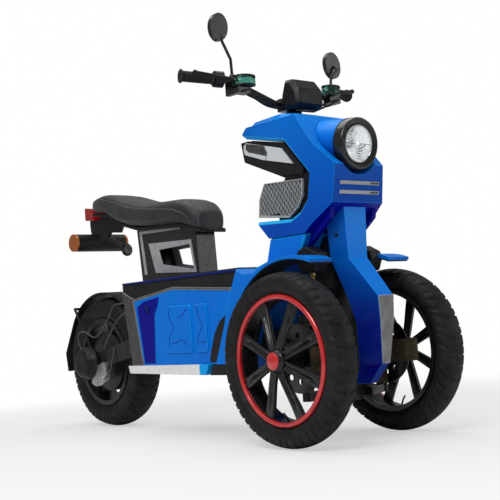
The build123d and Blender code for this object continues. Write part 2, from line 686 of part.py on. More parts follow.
def make_cowl():
    """Faceted nose cowl between the front wheels, cut to the head fairing's underside."""
    cowl = loft([cowl_section(level) for level in COWL_LEVELS], ruled=True)
    (f0, z0), (f1, z1) = HEAD_UNDERSIDE
    slope = (z1 - z0) / (f1 - f0)
    far = f1 + 60
    cowl -= core([(f0, z0), (far, z0 + slope * (far - f0)), (far, COWL_TOP + 80),
                  (f0, COWL_TOP + 80)], SHIELD_HALF)
    save("lower_cowl", cowl)
    strut = slab([(f0 + 6, z0 + slope * 6), (f1 - 16, z1 - slope * 16), (f1 - 22, z1 - slope * 16 - 30),
                  *ahead([(-22, 568), (-8, 597)])], 78, HEAD_FRONT_HALF)
    save("neck_struts", pair(strut))
    plate = [(height, front + RUNNING_GAP + PLATE_T, half, front + RUNNING_GAP, half)
             for height, front, half, rear, rear_half in COWL_LEVELS[2:5]]
    save("nose_plate", loft([cowl_section(level) for level in plate], ruled=True))


# Seat, post and tail

SEAT_PLAN = [(-12, SEAT_REAR_HALF), (240, SEAT_HALF), (668, SEAT_NOSE_HALF)]
SEAT_UNDER = [(660, 694), (572, 720), (306, 737), (178, 772), (114, 808), (0, 826)]


def seat_under(forward):
    """Height of the seat's underside at one place along it."""
    rising = sorted(SEAT_UNDER)
    for (f0, z0), (f1, z1) in zip(rising, rising[1:]):
        if f0 <= forward <= f1:
            return z0 + (z1 - z0) * (forward - f0) / (f1 - f0)
    return rising[-1][1]


def base_line(rear, front):
    """Lower face of the seat's base between two places, as points."""
    places = [rear] + sorted(f for f, z in SEAT_UNDER if rear < f < front) + [front]
    return [(f, seat_under(f) - SEAT_BASE_T) for f in places]


def make_seat_post():
    """Box post with a window through it."""
    outline = [(285, DECK_Z)] + base_line(265, 625) + [(632, DECK_Z)]
    window = [(395, DECK_Z + 42), (362, 660), (590, 636), (604, DECK_Z + 26)]
    post = core(outline, POST_HALF) - core(window, POST_HALF * 2)
    save("seat_post", post)
    outer = [(388, DECK_Z + 36), (342, 672), (598, 646), (614, DECK_Z + 16)]
    inner = [(430, DECK_Z + 46), (412, 634), (578, 622), (588, DECK_Z + 34)]
    trim = slab(outer, POST_HALF, POST_HALF + 4) - slab(inner, POST_HALF - 1, POST_HALF + 6)
    save("post_trims", pair(trim))


def make_seat():
    drop = SEAT_BASE_T
    under = SEAT_UNDER
    base = core([(f, z) for f, z in under] + [(f, z - drop) for f, z in reversed(under)],
                SEAT_NOSE_HALF - 24)
    save("seat_base", base)
    lift = RUNNING_GAP
    top = [(-12, 850), (4, 886), (172, 868), (366, 812), (560, 800), (620, 784), (660, 742),
           (664, 694)]
    cushion = core([(f, z + lift) for f, z in under] + top, SEAT_HALF)
    plan = Polyline(*[(x, at(f)) for f, x in SEAT_PLAN + [(f, -x) for f, x in SEAT_PLAN[::-1]]],
                    close=True)
    outline = make_face(plan)
    outline = fillet(outline.vertices(), SEAT_CORNER)
    cushion &= extrude(outline, amount=1200, dir=(0, 0, 1))
    save("seat_cushion", cushion)


SIGNAL_F = -70.0
SIGNAL_Z = 716.0
SIGNAL_R = 34.0
SIGNAL_HALF = 108.0
TAIL_REAR = -92.0
PLATE_HOLE_X = 14.0
PLATE_HOLE_Z = 793.0
PLATE_HOLE_R = 2.65
PLATE_HOLE_DEPTH = 16.0


def make_tail():
    strut = core(base_line(0, 110)[::-1] + [(-30, 800),
                  (TAIL_REAR, 806), (TAIL_REAR, 780), (SIGNAL_F - 10, SIGNAL_Z), (SIGNAL_F + 20, SIGNAL_Z - 8),
                  (0, 750), (70, 742)], 22)
    for x in (-PLATE_HOLE_X, PLATE_HOLE_X):
        hole = Rot(90, 0, 0) * Cylinder(PLATE_HOLE_R, 2 * PLATE_HOLE_DEPTH)
        strut -= Pos(x, at(TAIL_REAR), PLATE_HOLE_Z) * hole
    strut += across(SIGNAL_F, SIGNAL_Z, SIGNAL_R, -SIGNAL_HALF, SIGNAL_HALF)
    save("tail_bracket", strut)
    lens = pair(across(SIGNAL_F, SIGNAL_Z, SIGNAL_R, SIGNAL_HALF, SIGNAL_HALF + 9))
    save("signal_lenses", lens)
    save("tail_light", core([(-30, 800), (-30, 846), (TAIL_REAR, 856), (TAIL_REAR, 806)], 45))


# Rear wheel's carriage

FENDER_FRONT = 34.0
FENDER_TURN = -52.0
FENDER_FLAP = [(-288, 286), (-276, 214)]
ARM_TOP = 352.0
ARM_H = 66.0
BRIDGE_DEPTH = 44.0
HUB_COVER_R = 62.0


def make_fender():
    """Rear wheel hugger: a curved band that ends in a straight flap."""
    inside = REAR_TYRE_R + FENDER_GAP
    outside = inside + FENDER_T

    def on_band(radius, angle):
        turn = radians(angle)
        return (at(radius * sin(turn)), REAR_AXLE_Z + radius * cos(turn))

    middle = (FENDER_FRONT + FENDER_TURN) / 2
    flap_out = [(at(f), z) for f, z in FENDER_FLAP]
    flap_in = [(at(f + FENDER_T), z) for f, z in FENDER_FLAP]
    curves = [
        ThreePointArc(on_band(outside, FENDER_FRONT), on_band(outside, middle),
                      on_band(outside, FENDER_TURN)),
        Polyline(on_band(outside, FENDER_TURN), *flap_out, *flap_in[::-1],
                 on_band(inside, FENDER_TURN)),
        ThreePointArc(on_band(inside, FENDER_TURN), on_band(inside, middle),
                      on_band(inside, FENDER_FRONT)),
        Line(on_band(inside, FENDER_FRONT), on_band(outside, FENDER_FRONT))]
    face = Pos(-FENDER_HALF, 0, 0) * (Plane.YZ * closed_face(curves))
    band = extrude(face, amount=2 * FENDER_HALF, dir=(1, 0, 0))
    arm_face = ARM_X - ARM_T / 2
    stay = joint_rod([(arm_face, -10, REAR_AXLE_Z + 20), (arm_face - 13, -163, REAR_AXLE_Z + 212),
                      (FENDER_HALF - 2, -163, REAR_AXLE_Z + 212)], 5)
    stay -= block(-400, 400, arm_face, arm_face + 60, 0, 600)
    band += stay
    band += mirror(stay, about=Plane.YZ)
    save("rear_fender", band)


def make_rear_end():
    """Swingarm with its axle, wheel fender, axle cover and brake caliper."""
    inner = ARM_X - ARM_T / 2
    outer = ARM_X + ARM_T / 2
    arm_low = ARM_TOP - ARM_H
    top_f = body_rear(ARM_TOP) - RUNNING_GAP
    low_f = body_rear(arm_low) - RUNNING_GAP
    leg = slab([(0, REAR_AXLE_Z - 30), (-34, REAR_AXLE_Z), (0, REAR_AXLE_Z + 30),
                (top_f, ARM_TOP), (low_f, arm_low)], inner, outer)
    arm = leg + mirror(leg, about=Plane.YZ)
    arm += across(0, REAR_AXLE_Z, AXLE_R, -outer - 6, outer + 6)
    arm += core([(top_f - BRIDGE_DEPTH, ARM_TOP), (top_f, ARM_TOP), (low_f, arm_low),
                 (top_f - BRIDGE_DEPTH, arm_low)], outer)
    save("swingarm", arm)
    cover = across(0, REAR_AXLE_Z, HUB_COVER_R, -outer - 48, -outer)
    cover -= across(0, REAR_AXLE_Z, AXLE_R + RUNNING_GAP, -outer - 7, -outer + 1)
    save("axle_cover", cover)


# Handlebar and what turns with it

BAR_END = (BAR_HALF, WHEELBASE - 250, 1111)
BAR_ELBOW = (BAR_HALF - 145, WHEELBASE - 202, 1101)
BAR_FOOT = (62, WHEELBASE - 159, 1030)
BAR_BEND = 34.0
GRIP_LEN = 104.0
GRIP_R = 17.0
GRIP_CAP = 4.0
SWITCH_LEN = 28.0
SWITCH_R = 25.0
CLAMP = (70.0, 40.0, 40.0)
CUP_PLACE = (BAR_HALF - 168, WHEELBASE - 153, 1082)
CUP_R = 21.0
CUP_H = 24.0
HOSE_R = 3.2


def along(start, end, distance):
    """Place a distance along the line from one (x, forward, height) place to another."""
    a, b = Vector(*start), Vector(*end)
    p = a + (b - a).normalized() * distance
    return (p.X, p.Y, p.Z)


def flip(point):
    return (-point[0], point[1], point[2])


def bar_tube(radius):
    """The bent handlebar, from one end to the other."""
    points = [BAR_END, BAR_ELBOW, BAR_FOOT, flip(BAR_FOOT), flip(BAR_ELBOW), flip(BAR_END)]
    return tube_path(points, BAR_BEND, radius)


def make_handlebar():
    stem = extrude(column_plane(COLLAR_PROUD - COLLAR_DEPTH) * Circle(COLUMN_R),
                   amount=COLLAR_DEPTH + 20)
    clamp = Pos(0, at(BAR_FOOT[1]), BAR_FOOT[2]) * Box(*CLAMP)
    save("handlebar", bar_tube(BAR_R) + stem + clamp)


def joint_rod(places, radii):
    """Thin rod through a run of places, with a ball at each bend."""
    whole = None
    for k, (start, end) in enumerate(zip(places, places[1:])):
        piece = rod_between(start, end, radii)
        if k > 0:
            piece += Pos(start[0], at(start[1]), start[2]) * Sphere(radii)
        whole = piece if whole is None else whole + piece
    return whole


def make_controls():
    room = bar_tube(BAR_R + RUNNING_GAP)
    cap_end = along(BAR_END, BAR_ELBOW, -GRIP_CAP)
    grip = rod_between(cap_end, along(BAR_END, BAR_ELBOW, GRIP_LEN), GRIP_R) - room
    save("grips", pair(grip))
    pod_out = along(BAR_END, BAR_ELBOW, GRIP_LEN + 1)
    pod_in = along(BAR_END, BAR_ELBOW, GRIP_LEN + 1 + SWITCH_LEN)
    pod = rod_between(pod_out, pod_in, SWITCH_R)
    root = (pod_in[0] + 10, WHEELBASE - 196, 1095)
    tip = (BAR_HALF - 20, WHEELBASE - 204, 1114)
    lever = joint_rod([root, (BAR_HALF - 124, WHEELBASE - 156, 1092), tip], 6)
    lever += Pos(tip[0], at(tip[1]), tip[2]) * Sphere(8)
    save("bar_controls", pair(pod + lever - room))
    cup_x, cup_f, cup_z = CUP_PLACE
    cup_low = cup_z - CUP_H / 2
    save("fluid_cups", pair(Pos(cup_x, at(cup_f), cup_z) * Cylinder(CUP_R, CUP_H)))
    base = block(cup_f - 25, cup_f + 7, cup_x - 14, cup_x + 32, cup_low - 18, cup_low)
    clamp = block(cup_f - 57, cup_f - 23, cup_x + 16, cup_x + 32, cup_low - 18, cup_low + 22)
    save("master_cylinders", pair(base + clamp - room))


MIRRORS = {
    "left": [(-144, -182, 1093), (-139, -179, 1150), (-121, -164, 1174), (-124, -188, 1188)],
    "right": [(-144, -182, 1093), (-139, -179, 1160), (-122, -196, 1222), (-116, -202, 1262)],
}
MIRROR_W = 66.0
MIRROR_H = 88.0
MIRROR_T = 16.0
MIRROR_LEAN = 10.0


def make_mirrors():
    """Stalks and oval heads; each head is set as its rider left it."""
    shells = []
    glasses = []
    for name, side in SIDES.items():
        foot, bend, knuckle_place, centre = [
            (BAR_HALF + x, WHEELBASE + f, z) for x, f, z in MIRRORS[name]]
        stalk = joint_rod([foot, bend, knuckle_place, along(centre, knuckle_place, 6)], 4.5)
        turn = Pos(centre[0], at(centre[1]), centre[2]) * Rot(90, 0, 0) * Rot(0, 0, MIRROR_LEAN)
        face = turn * Ellipse(MIRROR_W / 2, MIRROR_H / 2)
        head = extrude(face, amount=MIRROR_T / 2, dir=(0, 1, 0), both=True)
        inner = turn * Ellipse(MIRROR_W / 2 - 4, MIRROR_H / 2 - 4)
        glass = extrude(inner, amount=MIRROR_T / 2 + 1, dir=(0, 1, 0))
        glass -= extrude(inner, amount=MIRROR_T / 2 - 2, dir=(0, 1, 0))
        shell = stalk + head - extrude(inner, amount=MIRROR_T, dir=(0, 1, 0))
        shell += extrude(inner, amount=MIRROR_T / 2 - 2, dir=(0, 1, 0))
        flipped = side < 0
        shells.append(mirror(shell, about=Plane.YZ) if flipped else shell)
        glasses.append(mirror(glass, about=Plane.YZ) if flipped else glass)
    save("mirrors", Compound(children=shells))
    save("mirror_glass", Compound(children=glasses))


POD_HALF = 58.0


def make_pod():
    """Faceted instrument pod on the front of the bar's clamp."""
    back = BAR_FOOT[1] + CLAMP[1] / 2
    pod = core([(back + 6, 1010), (back + 6, 1028), (back, 1034), (back, 1052), (back + 18, 1098),
                (back + 50, 1096), (back + 78, 1062), (back + 82, 1016), (back + 58, 1002)], POD_HALF)
    ends = pod.faces().sort_by(Axis.X)
    pod = chamfer(ends[0].edges() + ends[-1].edges(), 12)
    save("instrument_pod", pod)


def make_hoses():
    """Brake hoses from the master cylinders to the bar's clamp."""
    start_f = CUP_PLACE[1] + 7 + RUNNING_GAP
    start_x = CUP_PLACE[0] + 8
    route = [(start_x, start_f, 1060), (start_x, start_f + 24, 1060),
             (start_x - 58, start_f + 26, 1034), (84, start_f + 4, 1014),
             (CLAMP[0] / 2 + RUNNING_GAP, start_f, 1014)]
    save("brake_hoses", pair(tube_path(route, 16, HOSE_R)))


def main():
    make_front_wheels()
    make_rear_wheel()
    make_front_frame()
    save("dampers", pair(damper()))
    make_lower_body()
    make_step_bars()
    make_arches()
    make_leg_shield()
    make_head_fairing()
    make_headlight()
    make_chrome_strips()
    make_side_lamps()
    make_cowl()
    make_seat_post()
    make_seat()
    make_tail()
    make_rear_end()
    make_fender()
    make_handlebar()
    make_controls()
    make_mirrors()
    make_pod()
    make_hoses()


main()
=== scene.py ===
"""Looks of an electric three-wheel scooter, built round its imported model.

Metres, +Z up, forward is -Y and the rider's left is +X. Places along the scooter
are written as distances forward of the rear axle.
"""

import math

import bmesh
import bpy
import numpy as np
from mathutils import Matrix, Vector
from mathutils.bvhtree import BVHTree


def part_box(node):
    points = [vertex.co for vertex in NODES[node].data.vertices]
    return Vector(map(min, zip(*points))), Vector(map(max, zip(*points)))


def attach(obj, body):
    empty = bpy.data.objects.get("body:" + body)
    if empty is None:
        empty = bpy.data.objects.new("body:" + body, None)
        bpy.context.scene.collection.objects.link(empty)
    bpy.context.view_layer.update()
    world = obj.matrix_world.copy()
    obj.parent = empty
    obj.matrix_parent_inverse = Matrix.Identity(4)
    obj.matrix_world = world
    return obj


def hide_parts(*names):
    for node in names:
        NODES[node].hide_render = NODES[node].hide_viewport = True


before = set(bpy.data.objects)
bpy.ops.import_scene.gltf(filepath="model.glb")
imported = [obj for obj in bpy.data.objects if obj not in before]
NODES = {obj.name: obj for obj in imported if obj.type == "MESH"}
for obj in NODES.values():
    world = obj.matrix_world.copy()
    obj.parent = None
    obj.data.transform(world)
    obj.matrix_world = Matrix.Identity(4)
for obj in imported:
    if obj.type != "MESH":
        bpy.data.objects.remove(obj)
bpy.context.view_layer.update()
SIDES = {"left": 1, "right": -1}


def middle_of(node):
    """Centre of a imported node's box."""
    low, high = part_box(node)
    return (np.array(low) + np.array(high)) / 2


FRONT_HUB = {name: middle_of("tyre_front_" + name) for name in SIDES}
REAR_HUB = middle_of("tyre_rear")
REAR_Y = REAR_HUB[1]


def at(forward):
    """Y of a place that lies forward of the rear axle."""
    return REAR_Y - forward


# Meshes


def vertex_rows(mesh, what="co"):
    """Coordinates, or normals, of every vertex of a mesh."""
    flat = np.empty(len(mesh.vertices) * 3)
    mesh.vertices.foreach_get(what, flat)
    return flat.reshape(-1, 3)


def build_mesh(name, points, faces):
    """Mesh of points and faces, its doubles merged and its faces turned outwards."""
    mesh = bpy.data.meshes.new(name)
    mesh.from_pydata(np.asarray(points, dtype=float).reshape(-1, 3).tolist(), [],
                     [list(face) for face in faces])
    work = bmesh.new()
    work.from_mesh(mesh)
    bmesh.ops.remove_doubles(work, verts=work.verts, dist=1e-6)
    bmesh.ops.dissolve_degenerate(work, edges=work.edges, dist=1e-7)
    bmesh.ops.recalc_face_normals(work, faces=work.faces)
    work.to_mesh(mesh)
    work.free()
    return mesh


def piece(name, points, faces, material, body, smooth=True):
    """A finished piece that rides on one body."""
    mesh = build_mesh(name, points, faces)
    mesh.materials.append(material)
    mesh.polygons.foreach_set("use_smooth", np.full(len(mesh.polygons), smooth))
    obj = bpy.data.objects.new(name, mesh)
    bpy.context.collection.objects.link(obj)
    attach(obj, body)
    return obj


def grid_quads(rows, columns, close_rows=False, close_columns=False):
    """Quads between neighbouring points of a grid, wrapped round where it is closed."""
    r = np.arange(rows if close_rows else rows - 1)[:, None]
    c = np.arange(columns if close_columns else columns - 1)[None, :]
    r2 = (r + 1) % rows
    c2 = (c + 1) % columns
    quads = np.stack([r * columns + c, r * columns + c2, r2 * columns + c2, r2 * columns + c], -1)
    return quads.reshape(-1, 4)


def joined(parts):
    """Points and faces of several shapes as one list each."""
    points = []
    faces = []
    start = 0
    for part_points, part_faces in parts:
        part_points = np.asarray(part_points, dtype=float).reshape(-1, 3)
        points.append(part_points)
        faces.extend([[index + start for index in face] for face in part_faces])
        start += len(part_points)
    return np.concatenate(points), faces


def arc3(start, through, end, count):
    """Points on the circle through three places: its centre is where two chords' bisectors meet."""
    a, b, c = (np.array(p, dtype=float) for p in (start, through, end))
    lines = 2 * np.array([b - a, c - a])
    centre = np.linalg.solve(lines, np.array([b @ b - a @ a, c @ c - a @ a]))
    angles = np.arctan2(*(np.array([a, b, c]) - centre).T[::-1])
    sweep = (angles[2] - angles[0]) % (2 * math.pi)
    if (angles[1] - angles[0]) % (2 * math.pi) > sweep:
        sweep -= 2 * math.pi
    turn = angles[0] + sweep * np.linspace(0, 1, count)
    radius = np.linalg.norm(a - centre)
    return centre + radius * np.stack([np.cos(turn), np.sin(turn)], -1)


def tube(rings):
    """Skin through rows of points, one closed ring per row, with flat ends."""
    rings = np.asarray(rings, dtype=float)
    rows, count = rings.shape[:2]
    faces = grid_quads(rows, count, False, True).tolist()
    faces.append(list(range(count))[::-1])
    faces.append([(rows - 1) * count + k for k in range(count)])
    return rings.reshape(-1, 3), faces


def carried(section, path, up):
    """A flat section (across, along up) carried along a path; each ring stands across the path.

    Ring = path point + across * (tangent x up) + height * (that across x tangent)."""
    path = np.asarray(path, dtype=float)
    path = path[np.r_[True, np.linalg.norm(np.diff(path, axis=0), axis=1) > 1e-6]]
    tangent = np.gradient(path, axis=0)
    tangent /= np.linalg.norm(tangent, axis=1)[:, None]
    across = np.cross(tangent, np.asarray(up, dtype=float))
    across /= np.linalg.norm(across, axis=1)[:, None]
    height = np.cross(across, tangent)
    return tube(path[:, None] + section[None, :, :1] * across[:, None]
                + section[None, :, 1:] * height[:, None])


def circle(radius, steps=12):
    """Round section: (r cos t, r sin t)."""
    turn = np.linspace(0, 2 * math.pi, steps, endpoint=False)
    return radius * np.stack([np.cos(turn), np.sin(turn)], -1)


def upright(outline, x):
    """A (forward, height) outline as places in the plane at x."""
    outline = np.asarray(outline, dtype=float)
    return np.stack([np.full(len(outline), x), at(outline[:, 0]), outline[:, 1]], -1)


def plate(outline, x0, x1):
    """Prism of a (forward, height) outline between two distances from the centre plane."""
    return tube([upright(outline, x0), upright(outline, x1)])


def mirrored(shape):
    """The same shape on the other side of the centre plane."""
    points, faces = shape
    return np.asarray(points).reshape(-1, 3) * [-1, 1, 1], [list(face)[::-1] for face in faces]


def on_both_sides(shape):
    """A shape together with its mirror image."""
    return joined([shape, mirrored(shape)])


def turned(profile, centre, axis, steps=64, close=True):
    """Profile of (along, radius) turned about any axis.

    Point = centre + along a + radius (cos t u + sin t v), with u and v square to a."""
    axis = np.asarray(axis, dtype=float) / np.linalg.norm(axis)
    side = np.cross(axis, [0.0, 0.0, 1.0] if abs(axis[2]) < 0.9 else [1.0, 0.0, 0.0])
    side /= np.linalg.norm(side)
    other = np.cross(axis, side)
    profile = np.asarray(profile, dtype=float)
    turn = np.linspace(0, 2 * math.pi, steps, endpoint=False)[:, None, None]
    rings = profile[None, :, 1:] * (np.cos(turn) * side + np.sin(turn) * other)
    points = np.asarray(centre) + rings + profile[None, :, :1] * axis
    return points.reshape(-1, 3), grid_quads(steps, len(profile), True, close).tolist()


def drum(centre, axis, radius, height, steps=24, soft=0.12):
    """Short round boss with a softened top edge, standing on centre along axis."""
    profile = [(0, 0), (0, radius), (height - soft * radius, radius),
               (height, radius * (1 - soft)), (height, 0)]
    return turned(profile, centre, axis, steps, False)


def curve_through(places, per=8):
    """Smooth run through places.

    Each span is a cubic whose end slopes are half the chord between the neighbours."""
    places = np.asarray(places, dtype=float)
    padded = np.concatenate([[2 * places[0] - places[1]], places, [2 * places[-1] - places[-2]]])
    t = np.linspace(0, 1, per, endpoint=False)[:, None]
    spans = []
    for p0, p1, p2, p3 in zip(padded, padded[1:], padded[2:], padded[3:]):
        slope1, slope2 = (p2 - p0) / 2, (p3 - p1) / 2
        spans.append(p1 + slope1 * t + (3 * (p2 - p1) - 2 * slope1 - slope2) * t ** 2
                     + (2 * (p1 - p2) + slope1 + slope2) * t ** 3)
    return np.concatenate(spans + [places[-1:]])


def bar(places, radius, up=(0.31, 0.17, 0.93), steps=10, per=8):
    """Round bar carried along a smooth run of (x, forward, height) places."""
    path = curve_through([(x, at(f), z) for x, f, z in places], per)
    return carried(circle(radius, steps), path, up)


def frame_plate(outer, inner, x0, x1):
    """Flat frame between two outlines with as many corners, from x0 to x1."""
    rings = [upright(outer, x0), upright(inner, x0), upright(inner, x1), upright(outer, x1)]
    return np.concatenate(rings), grid_quads(4, len(outer), True, True).tolist()


def bevelled(obj, width, segments=2, angle=30, edge_slot=None):
    """Rounds an object's sharp edges and keeps flat faces flat."""
    bevel = obj.modifiers.new("soft_edges", "BEVEL")
    bevel.width = width
    bevel.segments = segments
    bevel.limit_method = "ANGLE"
    bevel.angle_limit = math.radians(angle)
    bevel.harden_normals = True
    if edge_slot is not None:
        bevel.material = edge_slot
    return obj


def extra(name, shape, material, body="chassis", smooth=True, soft=0.0):
    """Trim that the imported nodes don't hold; its edges are rounded where soft is above 0."""
    obj = piece(name, *shape, material, body, smooth)
    if soft:
        bevelled(obj, soft)
    return obj


def side_plates(name, outline, x0, x1, material, soft=0.0):
    """Flat trim of one outline on both sides of the scooter."""
    return extra(name, on_both_sides(plate(outline, x0, x1)), material,
                 smooth=False, soft=soft)


def stand_in(name, node, shape, material, body="chassis", smooth=True, soft=0.0):
    """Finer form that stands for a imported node."""
    obj = piece(name, *shape, material, body, smooth)
    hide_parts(node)
    if soft:
        bevelled(obj, soft)
    return obj


def softened(node, material, width, body="chassis", edge=None, marked=None):
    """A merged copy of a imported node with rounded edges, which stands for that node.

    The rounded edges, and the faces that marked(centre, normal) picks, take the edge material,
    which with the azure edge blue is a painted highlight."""
    source = NODES[node].data
    mesh = bpy.data.meshes.new("soft_" + node)
    mesh.from_pydata(vertex_rows(source).tolist(), [],
                     [list(face.vertices) for face in source.polygons])
    work = bmesh.new()
    work.from_mesh(mesh)
    bmesh.ops.remove_doubles(work, verts=work.verts, dist=1e-5)
    bmesh.ops.dissolve_limit(work, angle_limit=math.radians(1), verts=work.verts, edges=work.edges)
    bmesh.ops.recalc_face_normals(work, faces=work.faces)
    if marked is not None:
        for face in work.faces:
            if marked(face.calc_center_median(), face.normal):
                face.material_index = 1
    work.to_mesh(mesh)
    work.free()
    mesh.materials.append(material)
    if edge is not None:
        mesh.materials.append(edge)
    mesh.polygons.foreach_set("use_smooth", np.full(len(mesh.polygons), True))
    obj = bpy.data.objects.new("soft_" + node, mesh)
    bpy.context.collection.objects.link(obj)
    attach(obj, body)
    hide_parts(node)
    return bevelled(obj, width, edge_slot=None if edge is None else 1)


# Materials


def set_socket(node, key, value):
    """Sets an input whose name's blanks are written as underscores; False if there is none."""
    socket = key.replace("_", " ")
    if socket in node.inputs:
        node.inputs[socket].default_value = value
        return True
    return False


def add_node(tree, kind, **values):
    """New node whose sockets, or else its settings, take the values given."""
    node = tree.nodes.new("ShaderNode" + kind)
    for key, value in values.items():
        if not set_socket(node, key, value):
            setattr(node, key, value)
    return node


class Finish:
    """One procedural material, built up from object-space patterns."""

    def __init__(self, name, tone, rough=0.5, metal=0.0, coat=0.0, gloss=0.35):
        self.material = bpy.data.materials.new(name)
        self.material.use_nodes = True
        self.tree = self.material.node_tree
        self.shader = self.tree.nodes["Principled BSDF"]
        self.coords = self.tree.nodes.new("ShaderNodeTexCoord")
        self.shade(Base_Color=(*tone, 1), Roughness=rough, Metallic=metal, Coat_Weight=coat,
                   Coat_Roughness=0.04, Specular_IOR_Level=gloss)
        self.height = None

    def shade(self, **values):
        """Sets the shader's sockets."""
        for key, value in values.items():
            set_socket(self.shader, key, value)

    def link(self, source, target):
        self.tree.links.new(source, target)

    def add(self, kind, **values):
        return add_node(self.tree, kind, **values)

    def placed(self, scale=(1, 1, 1)):
        """Object coordinates, scaled."""
        mapping = self.add("Mapping", Scale=scale)
        self.link(self.coords.outputs["Object"], mapping.inputs["Vector"])
        return mapping.outputs["Vector"]

    def noise(self, scale, detail=3.0, stretch=(1, 1, 1)):
        node = self.add("TexNoise", Scale=scale, Detail=detail)
        self.link(self.placed(stretch), node.inputs["Vector"])
        return node.outputs["Fac"]

    def between(self, value, low, high, new_low=0.0, new_high=1.0):
        node = self.add("MapRange", From_Min=low, From_Max=high, To_Min=new_low, To_Max=new_high)
        self.link(value, node.inputs["Value"])
        return node.outputs["Result"]

    def math(self, operation, a, b=None):
        node = self.add("Math", operation=operation)
        for socket, value in zip(node.inputs, (a, b)):
            if value is None:
                continue
            if isinstance(value, (int, float)):
                socket.default_value = value
            else:
                self.link(value, socket)
        return node.outputs["Value"]

    def tones(self, value, first, second):
        """Base colour that goes from one tone to another with a value."""
        mix = self.add("Mix", data_type="RGBA")
        mix.inputs[6].default_value = (*first, 1)
        mix.inputs[7].default_value = (*second, 1)
        self.link(value, mix.inputs[0])
        self.link(mix.outputs[2], self.shader.inputs["Base Color"])
        return self

    def worn(self, scale, low, high):
        """Roughness that drifts between two values."""
        self.link(self.between(self.noise(scale), 0.3, 0.7, low, high),
                  self.shader.inputs["Roughness"])
        return self

    def relief(self, value, strength, distance):
        """Adds a bump to those already there."""
        node = self.add("Bump", Strength=strength, Distance=distance)
        self.link(value, node.inputs["Height"])
        if self.height is not None:
            self.link(self.height, node.inputs["Normal"])
        self.height = node.outputs["Normal"]
        self.link(self.height, self.shader.inputs["Normal"])
        return self

    def part(self, vector, axis):
        node = self.add("SeparateXYZ")
        self.link(vector, node.inputs[0])
        return node.outputs[axis]


def shell_paint_with_painted_light(name, shade, lit, facing=(0.0, 0.0, 0.5), fade=None, base=0.5):
    """Clear-coated shell paint with painted light and shade, darker to brighter as a facet turns.

    share = base + facing . normal + rise of the height between fade's two levels + cloud;
    the facing term and the height rise are painted light and shade, the cloud random tone."""
    paint = Finish(name, lit, rough=0.38, coat=0.06, gloss=0.12)
    # Painted light and shade: a facet nears the lit tone as it turns towards facing.
    lit_by_facing = paint.add("VectorMath", operation="DOT_PRODUCT")
    paint.link(paint.coords.outputs["Normal"], lit_by_facing.inputs[0])
    lit_by_facing.inputs[1].default_value = facing
    share = paint.math("ADD", lit_by_facing.outputs["Value"], base)
    cloud = paint.between(paint.noise(2.5, 2.0), 0.35, 0.65, -0.06, 0.06)
    share = paint.math("ADD", share, cloud)
    # Painted shade by height: the share rises between fade's two levels, darker low down.
    if fade is not None:
        height = paint.part(paint.coords.outputs["Object"], "Z")
        low, high, least, most = fade
        share = paint.math("ADD", share, paint.between(height, low, high, least, most))
    paint.tones(paint.between(share, 0.0, 1.0), shade, lit)
    paint.relief(paint.noise(900.0, 1.0), 0.03, 0.00002)
    return paint.material


def moulded_plastic(name, tone, lit, rough, grain=1400.0, depth=0.00003):
    """Injection-moulded plastic with a fine spark grain."""
    plastic = Finish(name, tone, rough=rough, gloss=0.25)
    plastic.tones(plastic.between(plastic.noise(14.0), 0.3, 0.7), tone, lit)
    plastic.worn(30.0, rough - 0.07, rough + 0.07)
    plastic.relief(plastic.noise(grain, 2.0), 0.35, depth)
    return plastic.material


def painted_metal(name, tone, lit, rough=0.3, metal=0.5, coat=0.5):
    """Metallic lacquer over cast or welded metal."""
    paint = Finish(name, tone, rough=rough, metal=metal, coat=coat)
    paint.tones(paint.between(paint.noise(40.0), 0.3, 0.7), tone, lit)
    paint.worn(60.0, rough - 0.05, rough + 0.08)
    paint.relief(paint.noise(700.0, 2.0), 0.03, 0.00002)
    return paint.material


def brushed_metal(name, tone, lit, rough, stretch):
    """Metal whose fine lines run along one direction."""
    metal = Finish(name, tone, rough=rough, metal=1.0)
    lines = metal.noise(300.0, 3.0, stretch)
    metal.tones(metal.between(lines, 0.3, 0.7), tone, lit)
    metal.link(metal.between(lines, 0.3, 0.7, rough - 0.08, rough + 0.08),
               metal.shader.inputs["Roughness"])
    metal.relief(lines, 0.1, 0.00002)
    return metal.material


def tyre_rubber():
    """Tyre rubber: nearly black, dusty patches, fine pores."""
    rubber = Finish("tyre_rubber", (0.01, 0.01, 0.0105), rough=0.62, gloss=0.25)
    rubber.tones(rubber.between(rubber.noise(18.0, 5.0), 0.35, 0.75), (0.006, 0.006, 0.0064),
                 (0.017, 0.017, 0.0175))
    rubber.worn(45.0, 0.5, 0.72)
    rubber.relief(rubber.noise(650.0, 3.0), 0.25, 0.00006)
    return rubber.material


def seat_leather():
    """Black leatherette: pebbled cells over a soft drift of tone."""
    leather = Finish("seat_leather", (0.022, 0.024, 0.027), rough=0.5)
    cells = leather.add("TexVoronoi", Scale=420.0)
    leather.link(leather.placed(), cells.inputs["Vector"])
    leather.tones(leather.between(leather.noise(9.0, 4.0), 0.3, 0.75), (0.014, 0.016, 0.018),
                  (0.034, 0.037, 0.041))
    leather.worn(70.0, 0.42, 0.58)
    leather.relief(cells.outputs["Distance"], 0.3, 0.0001)
    leather.relief(leather.noise(1500.0, 2.0), 0.12, 0.00003)
    leather.shade(Sheen_Weight=0.15, Sheen_Roughness=0.4)
    return leather.material


def tinted_lens(name, tone, dark, ribs):
    """Moulded lens with fine vertical ribs."""
    lens = Finish(name, tone, rough=0.12, coat=0.6)
    wave = lens.add("TexWave", Scale=ribs, Distortion=0.0)
    lens.link(lens.placed(), wave.inputs["Vector"])
    lens.tones(lens.between(wave.outputs["Fac"], 0.0, 1.0), dark, tone)
    lens.relief(wave.outputs["Fac"], 0.3, 0.0003)
    lens.shade(Subsurface_Weight=0.1)
    return lens.material


